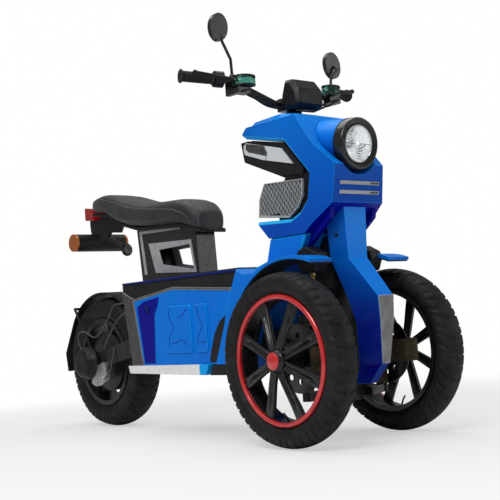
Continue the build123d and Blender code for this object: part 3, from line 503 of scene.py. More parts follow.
def clear_glass(name, tint, rough=0.03):
    """Clear plastic: seen through, with its gloss on top."""
    glass = Finish(name, tint, rough=rough)
    glass.worn(25.0, rough, rough + 0.05)
    glass.tones(glass.noise(8.0), tint, tuple(0.94 * c for c in tint))
    glass.shade(Transmission_Weight=0.92, IOR=1.45)
    return glass.material


def chrome_mirror(name, tone=(0.83, 0.84, 0.86)):
    """Bright plating with faint smears."""
    chrome = Finish(name, tone, rough=0.07, metal=1.0)
    chrome.tones(chrome.noise(22.0, 3.0), tuple(0.86 * c for c in tone), tone)
    chrome.worn(50.0, 0.04, 0.14)
    return chrome.material


def ribbed_mat():
    """Foot mat: raised ribs across the floor, 18 mm apart, in matt rubber."""
    mat = Finish("ribbed_mat", (0.03, 0.03, 0.032), rough=0.75)
    wave = mat.add("TexWave", Scale=17.0, bands_direction="Y")
    mat.link(mat.placed(), wave.inputs["Vector"])
    mat.tones(mat.between(wave.outputs["Fac"], 0.0, 1.0), (0.016, 0.016, 0.017),
              (0.045, 0.045, 0.047))
    mat.relief(wave.outputs["Fac"], 0.7, 0.0012)
    mat.relief(mat.noise(900.0), 0.3, 0.00006)
    return mat.material


# Shell blues with painted light and shade: lit tone by facing, head and cowl darker low down.
BLUE = shell_paint_with_painted_light("shell_blue", (0.0, 0.03, 0.44), (0.0, 0.24, 0.86), (0.0, 0.0, 0.45), None, 0.72)
HEAD_BLUE = shell_paint_with_painted_light("head_blue", (0.0, 0.004, 0.30), (0.0, 0.25, 0.86), (0.0, 0.0, 0.55),
                       (0.66, 0.98, -0.16, 0.2), 0.42)
COWL_BLUE = shell_paint_with_painted_light("cowl_blue", (0.0, 0.0, 0.19), (0.0, 0.22, 0.84), (0.0, -0.75, 0.5),
                       (0.36, 0.56, -0.15, 0.2), 0.08)
# Painted highlight: brighter azure for the bevels of blue panels and the head fairing's mouth.
EDGE_BLUE = shell_paint_with_painted_light("edge_azure", (0.0, 0.24, 0.8), (0.002, 0.46, 0.95),
                       (0.0, 0.0, 0.4), None, 0.6)
SHADE_BLUE = shell_paint_with_painted_light("shade_navy", (0.0, 0.0, 0.17), (0.0, 0.002, 0.34),
                        (0.0, 0.0, 0.3), None, 0.5)
DECK_BLUE = shell_paint_with_painted_light("deck_navy", (0.0, 0.003, 0.06), (0.0, 0.02, 0.24),
                       (0.0, 0.0, 0.3), None, 0.4)
BLACK_GLOSS = painted_metal("black_lacquer", (0.008, 0.008, 0.009),
                            (0.012, 0.012, 0.0135), 0.27, 0.0, 0.3)
BLACK_FRAME = painted_metal("frame_black", (0.006, 0.006, 0.0066),
                            (0.013, 0.013, 0.0145), 0.38, 0.1, 0.2)
BLACK_PLASTIC = moulded_plastic("moulded_black", (0.006, 0.006, 0.0066),
                                (0.013, 0.013, 0.014), 0.42)
GREY_PLASTIC = moulded_plastic("moulded_grey", (0.06, 0.062, 0.066), (0.1, 0.1, 0.106), 0.4)
PILLAR_GREY = painted_metal("pillar_grey", (0.055, 0.055, 0.056),
                            (0.095, 0.095, 0.096), 0.4, 0.35, 0.1)
PILLAR_EDGE = painted_metal("pillar_edge", (0.2, 0.2, 0.2), (0.27, 0.27, 0.27), 0.35, 0.4, 0.2)
NOSE_GREY = painted_metal("nose_grey", (0.16, 0.16, 0.165), (0.26, 0.26, 0.265), 0.34, 0.5, 0.3)
LAMP_GREY = painted_metal("lamp_grey", (0.03, 0.032, 0.034), (0.09, 0.092, 0.095), 0.2, 0.3, 0.6)
SILVER = painted_metal("trim_silver", (0.4, 0.41, 0.42), (0.5, 0.51, 0.52), 0.35, 0.3, 0.2)
STEP_SILVER = painted_metal("step_silver", (0.8, 0.8, 0.81), (0.9, 0.9, 0.91), 0.3, 0.0, 0.2)
RED_PAINT = painted_metal("wheel_red", (0.52, 0.01, 0.014), (0.68, 0.022, 0.027), 0.25, 0.1, 1.0)
SPOKE_GREY = painted_metal("spoke_graphite", (0.01, 0.01, 0.0106),
                           (0.022, 0.022, 0.0235), 0.3, 0.4, 0.3)
MOTOR_GREY = painted_metal("motor_grey", (0.016, 0.016, 0.017),
                           (0.032, 0.032, 0.034), 0.4, 0.4, 0.2)
BRONZE = painted_metal("cast_bronze", (0.045, 0.034, 0.02), (0.1, 0.076, 0.042), 0.45, 0.4, 0.1)
GOLD = painted_metal("rod_gold", (0.55, 0.36, 0.12), (0.7, 0.5, 0.2), 0.25, 0.9, 0.3)
ALLOY = painted_metal("caliper_alloy", (0.4, 0.41, 0.42), (0.56, 0.57, 0.58), 0.35, 0.85, 0.1)
DISC_STEEL = brushed_metal("disc_steel", (0.06, 0.06, 0.06), (0.14, 0.136, 0.13), 0.3, (1, 1, 1))
CHROME = chrome_mirror("strip_chrome")
REFLECTOR = chrome_mirror("reflector_chrome", (0.95, 0.96, 0.97))
TYRE = tyre_rubber()
LEATHER = seat_leather()
PIPING = moulded_plastic("seat_piping", (0.1, 0.105, 0.11), (0.16, 0.165, 0.17), 0.5)
RUBBER = moulded_plastic("grip_rubber", (0.012, 0.012, 0.012),
                         (0.022, 0.022, 0.022), 0.7, 800.0, 0.0006)
MAT = ribbed_mat()
AMBER = tinted_lens("amber_lens", (0.62, 0.2, 0.02), (0.3, 0.07, 0.005), 40.0)
RED_LENS = tinted_lens("tail_red", (0.55, 0.008, 0.01), (0.26, 0.002, 0.003), 50.0)
WHITE_LENS = tinted_lens("lamp_white", (0.9, 0.91, 0.92), (0.62, 0.64, 0.66), 18.0)
CLEAR = clear_glass("lamp_clear", (0.95, 0.97, 0.98))
CUP_GREEN = clear_glass("cup_green", (0.05, 0.27, 0.2), 0.1)
MIRROR = chrome_mirror("mirror_silver", (0.9, 0.92, 0.94))


def dress(node, material):
    """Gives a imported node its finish."""
    data = NODES[node].data
    data.materials.clear()
    data.materials.append(material)


# Nodes that show as packed; a finer piece stands for each of the others
DRESSED = {
    "body_tray": BLACK_FRAME, "battery_pack": BLACK_FRAME, "steering_head": BLACK_FRAME,
    "handlebar": BLACK_GLOSS, "chrome_strips": CHROME, "headlight_bucket": HEAD_BLUE,
    "side_lamps": WHITE_LENS, "signal_lenses": AMBER, "floor_mat": MAT, "rim_rear": MOTOR_GREY,
    "brake_disc_left": DISC_STEEL, "brake_disc_right": DISC_STEEL, "mirrors": BLACK_GLOSS,
    "mirror_glass": MIRROR, "brake_hoses": RUBBER,
}
for packed_name in NODES:
    dress(packed_name, DRESSED.get(packed_name, BLACK_PLASTIC))


# Tyres


def step_up(value, low, high):
    """Smooth rise from 0 to 1 between two values."""
    t = np.clip((value - low) / (high - low), 0, 1)
    return t * t * (3 - 2 * t)


GROOVE_DEPTH = 0.0034
PITCHES = 25
# Places round one tread pitch, as a share of the pitch, and how deep each groove is there
PITCH_SHARE = np.array([0.0, 0.08, 0.11, 0.16, 0.21, 0.24, 0.38, 0.52, 0.55, 0.59, 0.63, 0.66,
                        0.8, 0.9])
LONG_GROOVE = np.array([0, 0, 1, 1, 1, 0, 0, 0, 0, 0, 0, 0, 0, 0], dtype=float)
SHORT_GROOVE = np.array([0, 0, 0, 0, 0, 0, 0, 0, 1, 1, 1, 0, 0, 0], dtype=float)
TREAD_SLANT = 0.16


def tyre(name, hub, radius, width, bead_r, bead_half, body, material):
    """Tyre surface: turn about X by an angle that leans with the distance from the crown.

    The section is two sidewall arcs and a crown arc; grooves sink the crown along lines
    of constant (angle - lean), so the grid's own lines follow them."""
    lip_r = bead_r + 0.009
    bulge_r = (radius + bead_r) / 2
    shoulder = (0.42 * width, radius - 0.12 * width)
    wall = arc3((bead_half, lip_r), (width / 2, bulge_r), shoulder, 12)
    crown = arc3(shoulder, (0, radius), (-shoulder[0], shoulder[1]), 29)[1:-1]
    outside = np.concatenate([wall, crown, (wall * [-1, 1])[::-1]])
    foot = np.array([[-bead_half, bead_r], [bead_half, bead_r]])
    section = np.concatenate([outside, foot])
    run = np.concatenate([[0], np.cumsum(np.linalg.norm(np.diff(outside, axis=0), axis=1))])
    run = np.concatenate([run - run[-1] / 2, [0, 0]])
    half = run[len(outside) - 1]
    spread = np.abs(run) / half
    spread[-2:] = 2
    turns = (np.arange(PITCHES)[:, None] + PITCH_SHARE[None, :]).ravel() * 2 * math.pi / PITCHES
    long_reach = step_up(spread, 0.06, 0.1) * (1 - step_up(spread, 0.56, 0.66))
    short_reach = step_up(spread, 0.26, 0.32) * (1 - step_up(spread, 0.58, 0.68))
    depth = (np.tile(LONG_GROOVE, PITCHES)[:, None] * long_reach
             + np.tile(SHORT_GROOVE, PITCHES)[:, None] * short_reach) * GROOVE_DEPTH
    lean = TREAD_SLANT * np.minimum(spread, 0.8) ** 1.3
    rings = 0.0007 * (np.cos((section[:, 1] - lip_r) / 0.0075 * 2 * math.pi) > 0.5)
    rings = rings * ((spread > 0.76) & (spread < 0.97))
    radial = section[None, :, 1] - depth
    sideways = section[None, :, 0] + np.sign(section[:, 0]) * (rings - 0.35 * depth)
    angle = turns[:, None] + lean[None, :]
    points = np.stack([sideways, radial * np.sin(angle), radial * np.cos(angle)], -1) + hub
    faces = grid_quads(len(turns), len(section), True, True)
    obj = piece(name, points, faces, material, body)
    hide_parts(name.replace("_tread", ""))
    return obj


# Radius, width, bead radius and half the distance between the beads
FRONT_TYRE = (0.25, 0.092, 0.182, 0.031)
REAR_TYRE = (0.2485, 0.122, 0.158, 0.046)
for wheel_side, hub_place in FRONT_HUB.items():
    tyre("tyre_front_" + wheel_side + "_tread", hub_place, *FRONT_TYRE,
         "wheel_front_" + wheel_side, TYRE)
tyre("tyre_rear_tread", REAR_HUB, *REAR_TYRE, "wheel_rear", TYRE)


# Front rims

RIM_SEAT_R = 0.1817
RIM_IN_R = 0.1727
RIM_LIP_R = 0.1885
LIP_IN_X = 0.0313
LIP_OUT_X = 0.0373
SPOKE_COUNT = 8
SPOKE_ROOT_R = 0.024
HUB_OUT_X = 0.056
HUB_IN_X = -0.046
HUB_R = 0.03


def rim_ring(hub, side):
    """Painted outer lip: a half-round bead between the tyre and the spokes."""
    bead = arc3((LIP_IN_X, RIM_LIP_R), (LIP_OUT_X, 0.1845),
                (LIP_OUT_X - 0.0004, RIM_IN_R + 0.002), 10)
    back = [(LIP_IN_X - 0.006, RIM_IN_R + 0.0005), (LIP_IN_X - 0.006, RIM_SEAT_R),
            (LIP_IN_X, RIM_SEAT_R)]
    profile = np.concatenate([bead, back]) * [side, 1]
    return turned(profile, hub, (1, 0, 0), 128)


def rim_barrel(hub, side):
    """Dark barrel with a drop centre and its inner lip."""
    profile = [(LIP_IN_X - 0.006, RIM_IN_R), (LIP_IN_X - 0.006, RIM_SEAT_R), (0.02, RIM_SEAT_R),
               (0.012, RIM_SEAT_R - 0.006), (-0.012, RIM_SEAT_R - 0.006), (-0.02, RIM_SEAT_R),
               (-LIP_IN_X, RIM_SEAT_R), (-LIP_IN_X, RIM_LIP_R), (-LIP_OUT_X, RIM_LIP_R),
               (-LIP_OUT_X, RIM_IN_R + 0.004), (-LIP_OUT_X + 0.008, RIM_IN_R)]
    return turned(np.array(profile) * [side, 1], hub, (1, 0, 0), 128)


def spoke(hub, side, turn):
    """One dished spoke: width, face and depth run along the radius, and a vee sinks its face.

    face(t) falls from the hub to the rim, vee(c, t) is deepest at the hub's end."""
    t = np.linspace(0, 1, 26)[:, None]
    across = np.array([-1, -0.96, -0.86, -0.62, -0.36, -0.16, 0, 0.16, 0.36, 0.62, 0.86, 0.96, 1])
    radius = SPOKE_ROOT_R + t * (RIM_IN_R + 0.002 - SPOKE_ROOT_R)
    half_width = 0.0125 + 0.0055 * t ** 1.4 + 0.003 * np.exp(-t * 9)
    face = HUB_OUT_X - 0.008 - 0.018 * step_up(t, 0.0, 1.05)
    edge = 0.0032 * np.clip((np.abs(across) - 0.8) / 0.2, 0, 1) ** 2
    vee_width = 0.72 - 0.6 * t
    vee = 0.0075 * np.clip(1 - np.abs(across) / np.maximum(vee_width, 0.05), 0, 1) ** 0.8
    vee = vee * (1 - step_up(t, 0.72, 0.86))
    front = face - edge - vee
    back = face - 0.0135 + 0.002 * (across[::-1][[0, 4, 8, 12]] ** 2)
    wide = np.concatenate([across, across[::-1][[0, 4, 8, 12]]])
    x = np.concatenate([front, back], axis=1)
    y = half_width * wide
    angle = turn + np.zeros_like(x)
    r = np.broadcast_to(radius, x.shape)
    points = np.stack([side * x, r * np.sin(angle) + y * np.cos(angle),
                       r * np.cos(angle) - y * np.sin(angle)], -1)
    return tube(points + hub)


def rim_hub(hub, side):
    """Hub with a stepped nose that the cap sits on."""
    profile = [(HUB_IN_X, 0), (HUB_IN_X, HUB_R - 0.002), (HUB_IN_X + 0.002, HUB_R), (0.034, HUB_R),
               (0.046, HUB_R + 0.004), (0.0495, HUB_R + 0.002), (0.0515, HUB_R - 0.001),
               (HUB_OUT_X - 0.001, HUB_R - 0.0015), (HUB_OUT_X, HUB_R - 0.003), (HUB_OUT_X, 0)]
    return turned(np.array(profile) * [side, 1], hub, (1, 0, 0), 64)


for wheel_side, facing in SIDES.items():
    place = FRONT_HUB[wheel_side]
    riding = "wheel_front_" + wheel_side
    turns = (np.arange(SPOKE_COUNT) + 0.5) * 2 * math.pi / SPOKE_COUNT
    cast = [rim_barrel(place, facing), rim_hub(place, facing)]
    cast += [spoke(place, facing, turn) for turn in turns]
    rim = piece("cast_rim_" + wheel_side, *joined(cast), SPOKE_GREY, riding)
    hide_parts("rim_front_" + wheel_side)
    bevelled(rim, 0.0006, 1, 50)
    ring = piece("rim_ring_" + wheel_side, *rim_ring(place, facing), RED_PAINT, riding)


# Body panels with softened edges; their azure bevels are a painted highlight


def inner_edge(centre, normal):
    """Picks the bevel round the C-shaped mouth of the head fairing, which takes the painted
    highlight.
    """
    return 0.105 < abs(centre.x) < 0.1219 and 0.5 < abs(normal.x) < 0.9 and centre.y > at(1.3)


softened("head_fairing", HEAD_BLUE, 0.005, edge=EDGE_BLUE, marked=inner_edge)
# Node, finish, bevel in mm, bevels' material, body; EDGE_BLUE bevels are a painted highlight.
for node, finish, millimetres, rim, body in (
        ("leg_shield", BLUE, 6, EDGE_BLUE, "chassis"),
        ("lower_cowl", COWL_BLUE, 4, BLUE, "chassis"),
        ("wheel_arches", BLUE, 5, EDGE_BLUE, "chassis"),
        ("side_panels", BLUE, 3, EDGE_BLUE, "chassis"),
        ("seat_post", BLACK_GLOSS, 3, None, "chassis"),
        ("tail_bracket", BLACK_PLASTIC, 3, None, "chassis"),
        ("instrument_pod", BLACK_PLASTIC, 3, None, "handlebar"),
        ("lamp_housing", BLACK_PLASTIC, 3, None, "chassis"),
        ("deck_cover", DECK_BLUE, 3, None, "chassis"),
        ("deck_edges", BLACK_PLASTIC, 3, None, "chassis"),
        ("corner_trims", PILLAR_GREY, 3.5, PILLAR_EDGE, "chassis"),
        ("nose_plate", NOSE_GREY, 1, SILVER, "chassis"),
        ("arch_liners", BLACK_PLASTIC, 1, None, "chassis"),
        ("neck_struts", SHADE_BLUE, 3, None, "chassis"),
        ("front_frame", BLACK_FRAME, 3, None, "chassis"),
        ("suspension_arms", BLACK_FRAME, 2, None, "chassis"),
        ("tail_light", RED_LENS, 4, None, "chassis"),
        ("swingarm", MOTOR_GREY, 4, None, "chassis"),
        ("rear_fender", BLACK_PLASTIC, 2, None, "chassis"),
        ("knuckle_left", BRONZE, 2, None, "knuckle_left"),
        ("knuckle_right", BRONZE, 2, None, "knuckle_right"),
        ("bar_controls", BLACK_PLASTIC, 2.5, None, "handlebar"),
        ("master_cylinders", BLACK_GLOSS, 2, None, "handlebar"),
        ("seat_base", BLACK_PLASTIC, 3, None, "chassis")):
    softened(node, finish, millimetres / 1000, body, rim)


# Side body: step bars, shaded rear field, button, vent and painted shade along pad creases

STEP_IN, STEP_OUT = 0.168, 0.204
STEP_LINE = [(0.405, 0.24), (0.415, 0.214), (0.815, 0.207), (0.815, 0.24)]
STEP_TIP = [(0.8152, 0.24), (0.8152, 0.207), (0.847, 0.2065), (0.861, 0.232), (0.863, 0.24)]
stand_in("bright_step_bars", "step_bars", on_both_sides(plate(STEP_LINE, STEP_IN, STEP_OUT)),
         STEP_SILVER, smooth=False, soft=0.002)
side_plates("step_bar_tips", STEP_TIP, STEP_IN, STEP_OUT, EDGE_BLUE, 0.002)
SHADE_FIELD = [(0.497, 0.457), (0.592, 0.468), (0.585, 0.443), (0.562, 0.409), (0.551, 0.246),
               (0.488, 0.246), (0.486, 0.262), (0.458, 0.44)]
side_plates("shaded_panel_ends", SHADE_FIELD, 0.186, 0.1887, SHADE_BLUE, 0.0006)
button = turned([(0, 0), (0, 0.013), (0.003, 0.013), (0.0042, 0.0115), (0.003, 0.009), (0.003, 0)],
                (0.1885, at(0.521), 0.429), (1, 0, 0), 32)
extra("panel_buttons", on_both_sides(button), DECK_BLUE)
VENT_LINE = [(0.934, 0.376), (0.896, 0.346), (0.862, 0.252), (0.882, 0.244), (0.906, 0.3)]
VENT_SKIN = [(0.948, 0.392), (0.915, 0.372), (0.886, 0.335), (0.862, 0.28), (0.852, 0.246),
             (0.9, 0.244), (0.918, 0.3)]
side_plates("vent_surrounds", VENT_SKIN, 0.187, 0.1888, BLACK_PLASTIC, 0.0008)
side_plates("vent_floors", VENT_LINE, 0.1775, 0.1798, BLACK_PLASTIC)
# Painted shade: navy lines along the pads' wave creases stand for the shade in them.
WAVES = [[(0.65, 0.424), (0.656, 0.39), (0.674, 0.362), (0.651, 0.334), (0.644, 0.303)],
         [(0.661, 0.309), (0.69, 0.314), (0.718, 0.32), (0.745, 0.303)],
         [(0.703, 0.393), (0.724, 0.4), (0.752, 0.42)]]
PAD_FACE_X = 0.1938
SECOND_PAD = 0.158
crease_shade_lines = []
for shift, limit in ((0.0, 0.77), (SECOND_PAD, 0.852)):
    for wave in WAVES:
        line = [(PAD_FACE_X, f + shift, z) for f, z in wave if f + shift < limit]
        if len(line) > 1:
            crease_shade_lines.append(bar(line, 0.0013, (1, 0, 0), 6))
extra("pad_wave_shade_lines", on_both_sides(joined(crease_shade_lines)), SHADE_BLUE)


# Seat post trims

POST_X = 0.042
TRIM_OUT = POST_X + 0.004
WINDOW_OUTER = [(0.342, 0.672), (0.378, 0.562), (0.622, 0.546), (0.6, 0.662)]
WINDOW_INNER = [(0.406, 0.643), (0.424, 0.59), (0.61, 0.558), (0.592, 0.646)]
stand_in("post_window_frames", "post_trims",
         on_both_sides(frame_plate(WINDOW_OUTER, WINDOW_INNER, POST_X + 0.0002, TRIM_OUT)), SILVER,
         smooth=False, soft=0.001)
POST_LINE = [(0.285, 0.722), (0.54, 0.7125), (0.542, 0.7045), (0.3, 0.7105), (0.322, 0.56),
             (0.306, 0.56)]
side_plates("post_edge_lines", POST_LINE, POST_X - 0.001, TRIM_OUT - 0.001, SILVER,
            0.0008)


# Head: shoulders, boots, lamp, side lamps, grilles and chrome slots


# Station, crown height, height of the shoulder line, height at the flank
SHOULDERS = [(1.03, 0.9675, 0.967, 0.952), (1.05, 0.9862, 0.981, 0.956),
             (1.17, 0.9905, 0.985, 0.956), (1.25, 0.9655, 0.963, 0.946)]
crown = tube([[(0.036, at(f), top), (0.102, at(f), side), (0.1222, at(f), low),
               (0.119, at(f), low - 0.02), (0.036, at(f), top - 0.014)]
              for f, top, side, low in SHOULDERS])
extra("head_shoulders", on_both_sides(crown), HEAD_BLUE, smooth=False, soft=0.004)
BOOT_LINE = [(1.225, 0.54), (1.244, 0.564), (1.272, 0.572), (1.312, 0.552), (1.32, 0.53),
             (1.304, 0.494), (1.25, 0.492)]
side_plates("linkage_boots", BOOT_LINE, 0.088, 0.138, BLACK_PLASTIC, 0.004)

LAMP_TILT = math.radians(6)
LAMP_OUT = np.array([0, -math.cos(LAMP_TILT), -math.sin(LAMP_TILT)])
LAMP_FRONT = np.array([0, at(1.394), 0.86])
BOWL_R = 0.0566
BOWL_NECK_R = 0.011


def lamp_shape(profile, steps=96, close=True):
    return turned(profile, LAMP_FRONT, LAMP_OUT, steps, close)


bezel = [(-0.05, 0.0765), (-0.026, 0.0775), (-0.006, 0.0768), (-0.0015, 0.0745), (0, 0.0712),
         (-0.0004, 0.069), (-0.004, 0.0655), (-0.007, 0.0612), (-0.0075, 0.0586), (-0.012, 0.0574),
         (-0.03, 0.0572), (-0.05, 0.0572)]
stand_in("lamp_bezel", "headlight_bezel", lamp_shape(bezel), BLACK_GLOSS)


def faceted_bowl(sectors=36, rings=9):
    """Reflector bowl: depth grows with share^1.8 of the radius, every other corner pressed in."""
    share = np.linspace(0, 1, rings)
    radius = BOWL_NECK_R + (BOWL_R - BOWL_NECK_R) * share
    depth = -0.0298 + 0.021 * share ** 1.8
    turn = np.arange(sectors) * 2 * math.pi / sectors
    checker = (np.arange(sectors)[:, None] + np.arange(rings)[None, :]) % 2
    inset = 0.0016 * checker * (np.arange(rings) < rings - 1)
    along = depth[None, :] - inset
    side = np.array([1.0, 0, 0])
    rise = np.cross(LAMP_OUT, side)
    across = radius[None, :] * np.cos(turn)[:, None]
    up = radius[None, :] * np.sin(turn)[:, None]
    points = (LAMP_FRONT + along[..., None] * LAMP_OUT + across[..., None] * side
              + up[..., None] * rise)
    return points.reshape(-1, 3), grid_quads(sectors, rings, True, False).tolist()


stand_in("lamp_bowl", "headlight_reflector", faceted_bowl(), REFLECTOR, smooth=False)
bulb = [(-0.0325, 0), (-0.0325, 0.0112), (-0.016, 0.0108), (-0.0135, 0.0095), (-0.0125, 0.006),
        (-0.0122, 0)]
extra("lamp_bulb_cap", lamp_shape(bulb, 32), CHROME)
fin = LAMP_FRONT - 0.018 * LAMP_OUT
fin_rings = [[fin + [x, 0, z] + k * LAMP_OUT
              for k, z in ((-0.006, -0.0012), (0.005, -0.0012), (0.005, 0.0012), (-0.006, 0.0012))]
             for x in (-0.052, 0.052)]
extra("lamp_fin", tube(fin_rings), LAMP_GREY, smooth=False)
glass = [(-0.009, 0.0566), (-0.007, 0.0566), (-0.0035, 0.05), (-0.0008, 0.036), (0.0006, 0.018),
         (0.001, 0), (-0.001, 0), (-0.0014, 0.018), (-0.0028, 0.036), (-0.0055, 0.05)]
stand_in("lamp_glass", "headlight_glass", lamp_shape(glass), CLEAR)

DARK_CELL = [(1.003, 0.9205), (1.086, 0.901), (1.098, 0.877), (1.094, 0.867), (1.012, 0.892),
             (1.0, 0.904)]
CELL_BAR = [(1.0885, 0.9), (1.0915, 0.8993), (1.102, 0.8755), (1.092, 0.853), (1.089, 0.854),
            (1.0985, 0.8755)]
lamp_cells = joined([plate(DARK_CELL, 0.1, 0.1066), plate(CELL_BAR, 0.1, 0.1064)])
extra("side_lamp_cells", on_both_sides(lamp_cells), LAMP_GREY,
      smooth=False, soft=0.0006)

GRILLE_LINE = np.array([(1.074, 0.784), (1.248, 0.775), (1.243, 0.725), (1.22, 0.693),
                        (1.182, 0.67), (1.04, 0.688), (1.047, 0.737)])
MESH_PITCH = 0.0165
MESH_RISE = 0.0112
MESH_STRAND = np.array([(-0.0009, -0.003), (0.0009, -0.003), (0.0009, 0.003), (-0.0009, 0.003)])


def inside(outline, f, z):
    """True within an outline: a ray to the front crosses its edges an odd number of times."""
    f, z = np.asarray(f), np.asarray(z)
    odd = np.zeros(f.shape, dtype=bool)
    for (f0, z0), (f1, z1) in zip(outline, np.roll(outline, -1, axis=0)):
        crosses = (z0 > z) != (z1 > z)
        span = np.where(crosses, z1 - z0, 1.0)
        odd ^= crosses & (f < (f1 - f0) * (z - z0) / span + f0)
    return odd


def mesh_strands():
    """Expanded mesh of level strands.

    Each steps up and down, and its neighbours step the other way and meet it."""
    low, high = GRILLE_LINE.min(0), GRILLE_LINE.max(0)
    strands = []
    wave = np.array([0.0, 0.18, 0.5, 0.68])
    lift = np.array([0.0, 1.0, 1.0, 0.0])
    for row in range(int((high[1] - low[1]) / MESH_RISE) + 2):
        cells = int((high[0] - low[0]) / MESH_PITCH) + 2
        steps = np.arange(cells)[:, None] + wave[None, :] + 0.5 * (row % 2)
        f = low[0] + steps.ravel() * MESH_PITCH
        z = low[1] + row * MESH_RISE + np.tile(lift - 0.5, cells) * (MESH_RISE - 0.0014)
        held = inside(GRILLE_LINE, f, z)
        start = None
        for k in range(len(f) + 1):
            if k < len(f) and held[k]:
                start = k if start is None else start
            elif start is not None:
                if k - start > 1:
                    path = np.stack([np.full(k - start, 0.1005), at(f[start:k]), z[start:k]], -1)
                    strands.append(carried(MESH_STRAND, path, (1, 0, 0)))
                start = None
    return joined(strands)


def shrunk(outline, share):
    middle = outline.mean(0)
    return middle + (outline - middle) * share


rims = frame_plate(GRILLE_LINE, shrunk(GRILLE_LINE, 0.955), 0.0965, 0.1045)
stand_in("grille_mesh", "grilles", on_both_sides(joined([mesh_strands(), rims])), SILVER,
         smooth=False)
side_plates("grille_backs", shrunk(GRILLE_LINE, 0.98), 0.0925, 0.0945, BLACK_PLASTIC)
LIP_LINE = [(1.04, 0.69), (1.184, 0.672), (1.18, 0.666), (1.042, 0.682)]
side_plates("grille_lips", LIP_LINE, 0.0935, 0.106, SILVER, 0.001)
FASCIA_FOOT = (1.366, 0.69)
FASCIA_LEAN = 0.018 / 0.11
SLOT_OUT = 0.0052
SLOT_THICK = 0.0008
slots = []
for height in (0.746, 0.719):
    face = FASCIA_FOOT[0] + (height - FASCIA_FOOT[1]) * FASCIA_LEAN + SLOT_OUT
    low, high = height - 0.003, height + 0.003
    for x in (0.045, 0.056, 0.067):
        corners = np.array([(x, at(face), low), (x + 0.008, at(face), low),
                            (x + 0.011, at(face), high), (x + 0.003, at(face), high)])
        slots.append(tube([corners - [0, SLOT_THICK / 2, 0], corners + [0, SLOT_THICK, 0]]))
extra("chrome_slots", joined(slots), BLACK_PLASTIC, smooth=False)


# Seat: a swollen pad with sewn seams

SEAT_VOXEL = 0.0055
SEAT_PRESSURE = 4.0
SWELL_CAP = 0.005
SEAM_DEPTH = 0.0022
SEAM_REACH = 0.012
PIPING_R = 0.0013
SEAT_ENDS = (-0.008, 0.671)
SEAT_TOP = np.array([(-0.006, 0.866), (0.03, 0.884), (0.09, 0.882), (0.172, 0.866), (0.27, 0.836),
                     (0.366, 0.814), (0.46, 0.807), (0.56, 0.804), (0.62, 0.793), (0.671, 0.76)])
SEAT_LOW = np.array([(-0.006, 0.83), (0.114, 0.8125), (0.178, 0.777), (0.306, 0.741),
                     (0.572, 0.719), (0.671, 0.684)])
SEAT_WIDE = np.array([(-0.006, 0.096), (0.24, 0.108), (0.671, 0.088)])


def power(value, exponent):
    return np.sign(value) * np.abs(value) ** exponent


def seat_form(stations=72, steps=56):
    """Pad whose plan and section are superellipses.

    Forward = m + l sin^0.5 a, shrink = cos^0.36 a and x = w shrink cos^0.6 b. The height swings
    from its centre up to the top line by sin^0.62 b and down to the low line by sin^0.4 b."""
    turn = np.linspace(-math.pi / 2, math.pi / 2, stations)
    middle, length = sum(SEAT_ENDS) / 2, (SEAT_ENDS[1] - SEAT_ENDS[0]) / 2
    forward = middle + length * power(np.sin(turn), 0.5)
    shrink = np.maximum(np.cos(turn), 0) ** 0.36
    width = np.interp(forward, *SEAT_WIDE.T) * shrink
    top, low = np.interp(forward, *SEAT_TOP.T), np.interp(forward, *SEAT_LOW.T)
    centre = 0.45 * top + 0.55 * low
    rise = (top - centre) * (0.5 + 0.5 * shrink)
    fall = (centre - low) * (0.88 + 0.12 * shrink)
    phi = np.linspace(0, 2 * math.pi, steps, endpoint=False)[None, :]
    x = width[:, None] * power(np.cos(phi), 0.6)
    up = rise[:, None] * np.maximum(np.sin(phi), 0) ** 0.62
    down = fall[:, None] * np.maximum(-np.sin(phi), 0) ** 0.4
    z = centre[:, None] + up - down
    y = np.broadcast_to(at(forward)[:, None], x.shape)
    return np.stack([x, y, z], -1).reshape(-1, 3), grid_quads(stations, steps, False, True).tolist()


def applied(obj):
    """Bakes an object's modifiers into its mesh."""
    graph = bpy.context.evaluated_depsgraph_get()
    mesh = bpy.data.meshes.new_from_object(obj.evaluated_get(graph))
    obj.modifiers.clear()
    obj.data = mesh
    return mesh


def moved(obj, points):
    """Gives an object's mesh new coordinates."""
    obj.data.vertices.foreach_set("co", points.ravel())
    obj.data.update()


def swollen(obj, pressure, cap):
    """Blows a closed pad up as cloth for twenty frames, with its moves held to a cap."""
    before = vertex_rows(obj.data)
    cloth = obj.modifiers.new("fill", "CLOTH")
    cloth.settings.quality = 6
    cloth.settings.mass = 0.25
    cloth.settings.tension_stiffness = 25
    cloth.settings.compression_stiffness = 25
    cloth.settings.bending_stiffness = 6
    cloth.settings.use_pressure = True
    cloth.settings.uniform_pressure_force = pressure
    cloth.settings.effector_weights.gravity = 0
    cloth.point_cache.frame_end = 20
    for step in range(1, 21):
        bpy.context.scene.frame_set(step)
    applied(obj)
    after = vertex_rows(obj.data)
    move = after - before
    length = np.linalg.norm(move, axis=1)[:, None]
    moved(obj, before + move * np.minimum(1, cap / np.maximum(length, 1e-9)))


def sewn(obj, runs, depth, reach):
    """Draws the surface in by depth along each run, easing out to nothing at reach."""
    points = vertex_rows(obj.data)
    normals = vertex_rows(obj.data, "normal")
    for run in runs:
        gap = np.full(len(points), 1.0)
        for place in run:
            gap = np.minimum(gap, np.linalg.norm(points - place, axis=1))
        points = points - normals * (depth * np.clip(1 - gap / reach, 0, 1) ** 2)[:, None]
    moved(obj, points)


def laid_on(obj, places, lift, per=10):
    """A smooth run of (x, forward, height) places, each moved to the nearest point of a surface."""
    tree = BVHTree.FromPolygons([tuple(v.co) for v in obj.data.vertices],
                                [tuple(p.vertices) for p in obj.data.polygons])
    path = []
    for place in curve_through([(x, at(f), z) for x, f, z in places], per):
        spot, normal, _, _ = tree.find_nearest(place)
        path.append(np.array(spot) + lift * np.array(normal))
    return np.array(path)


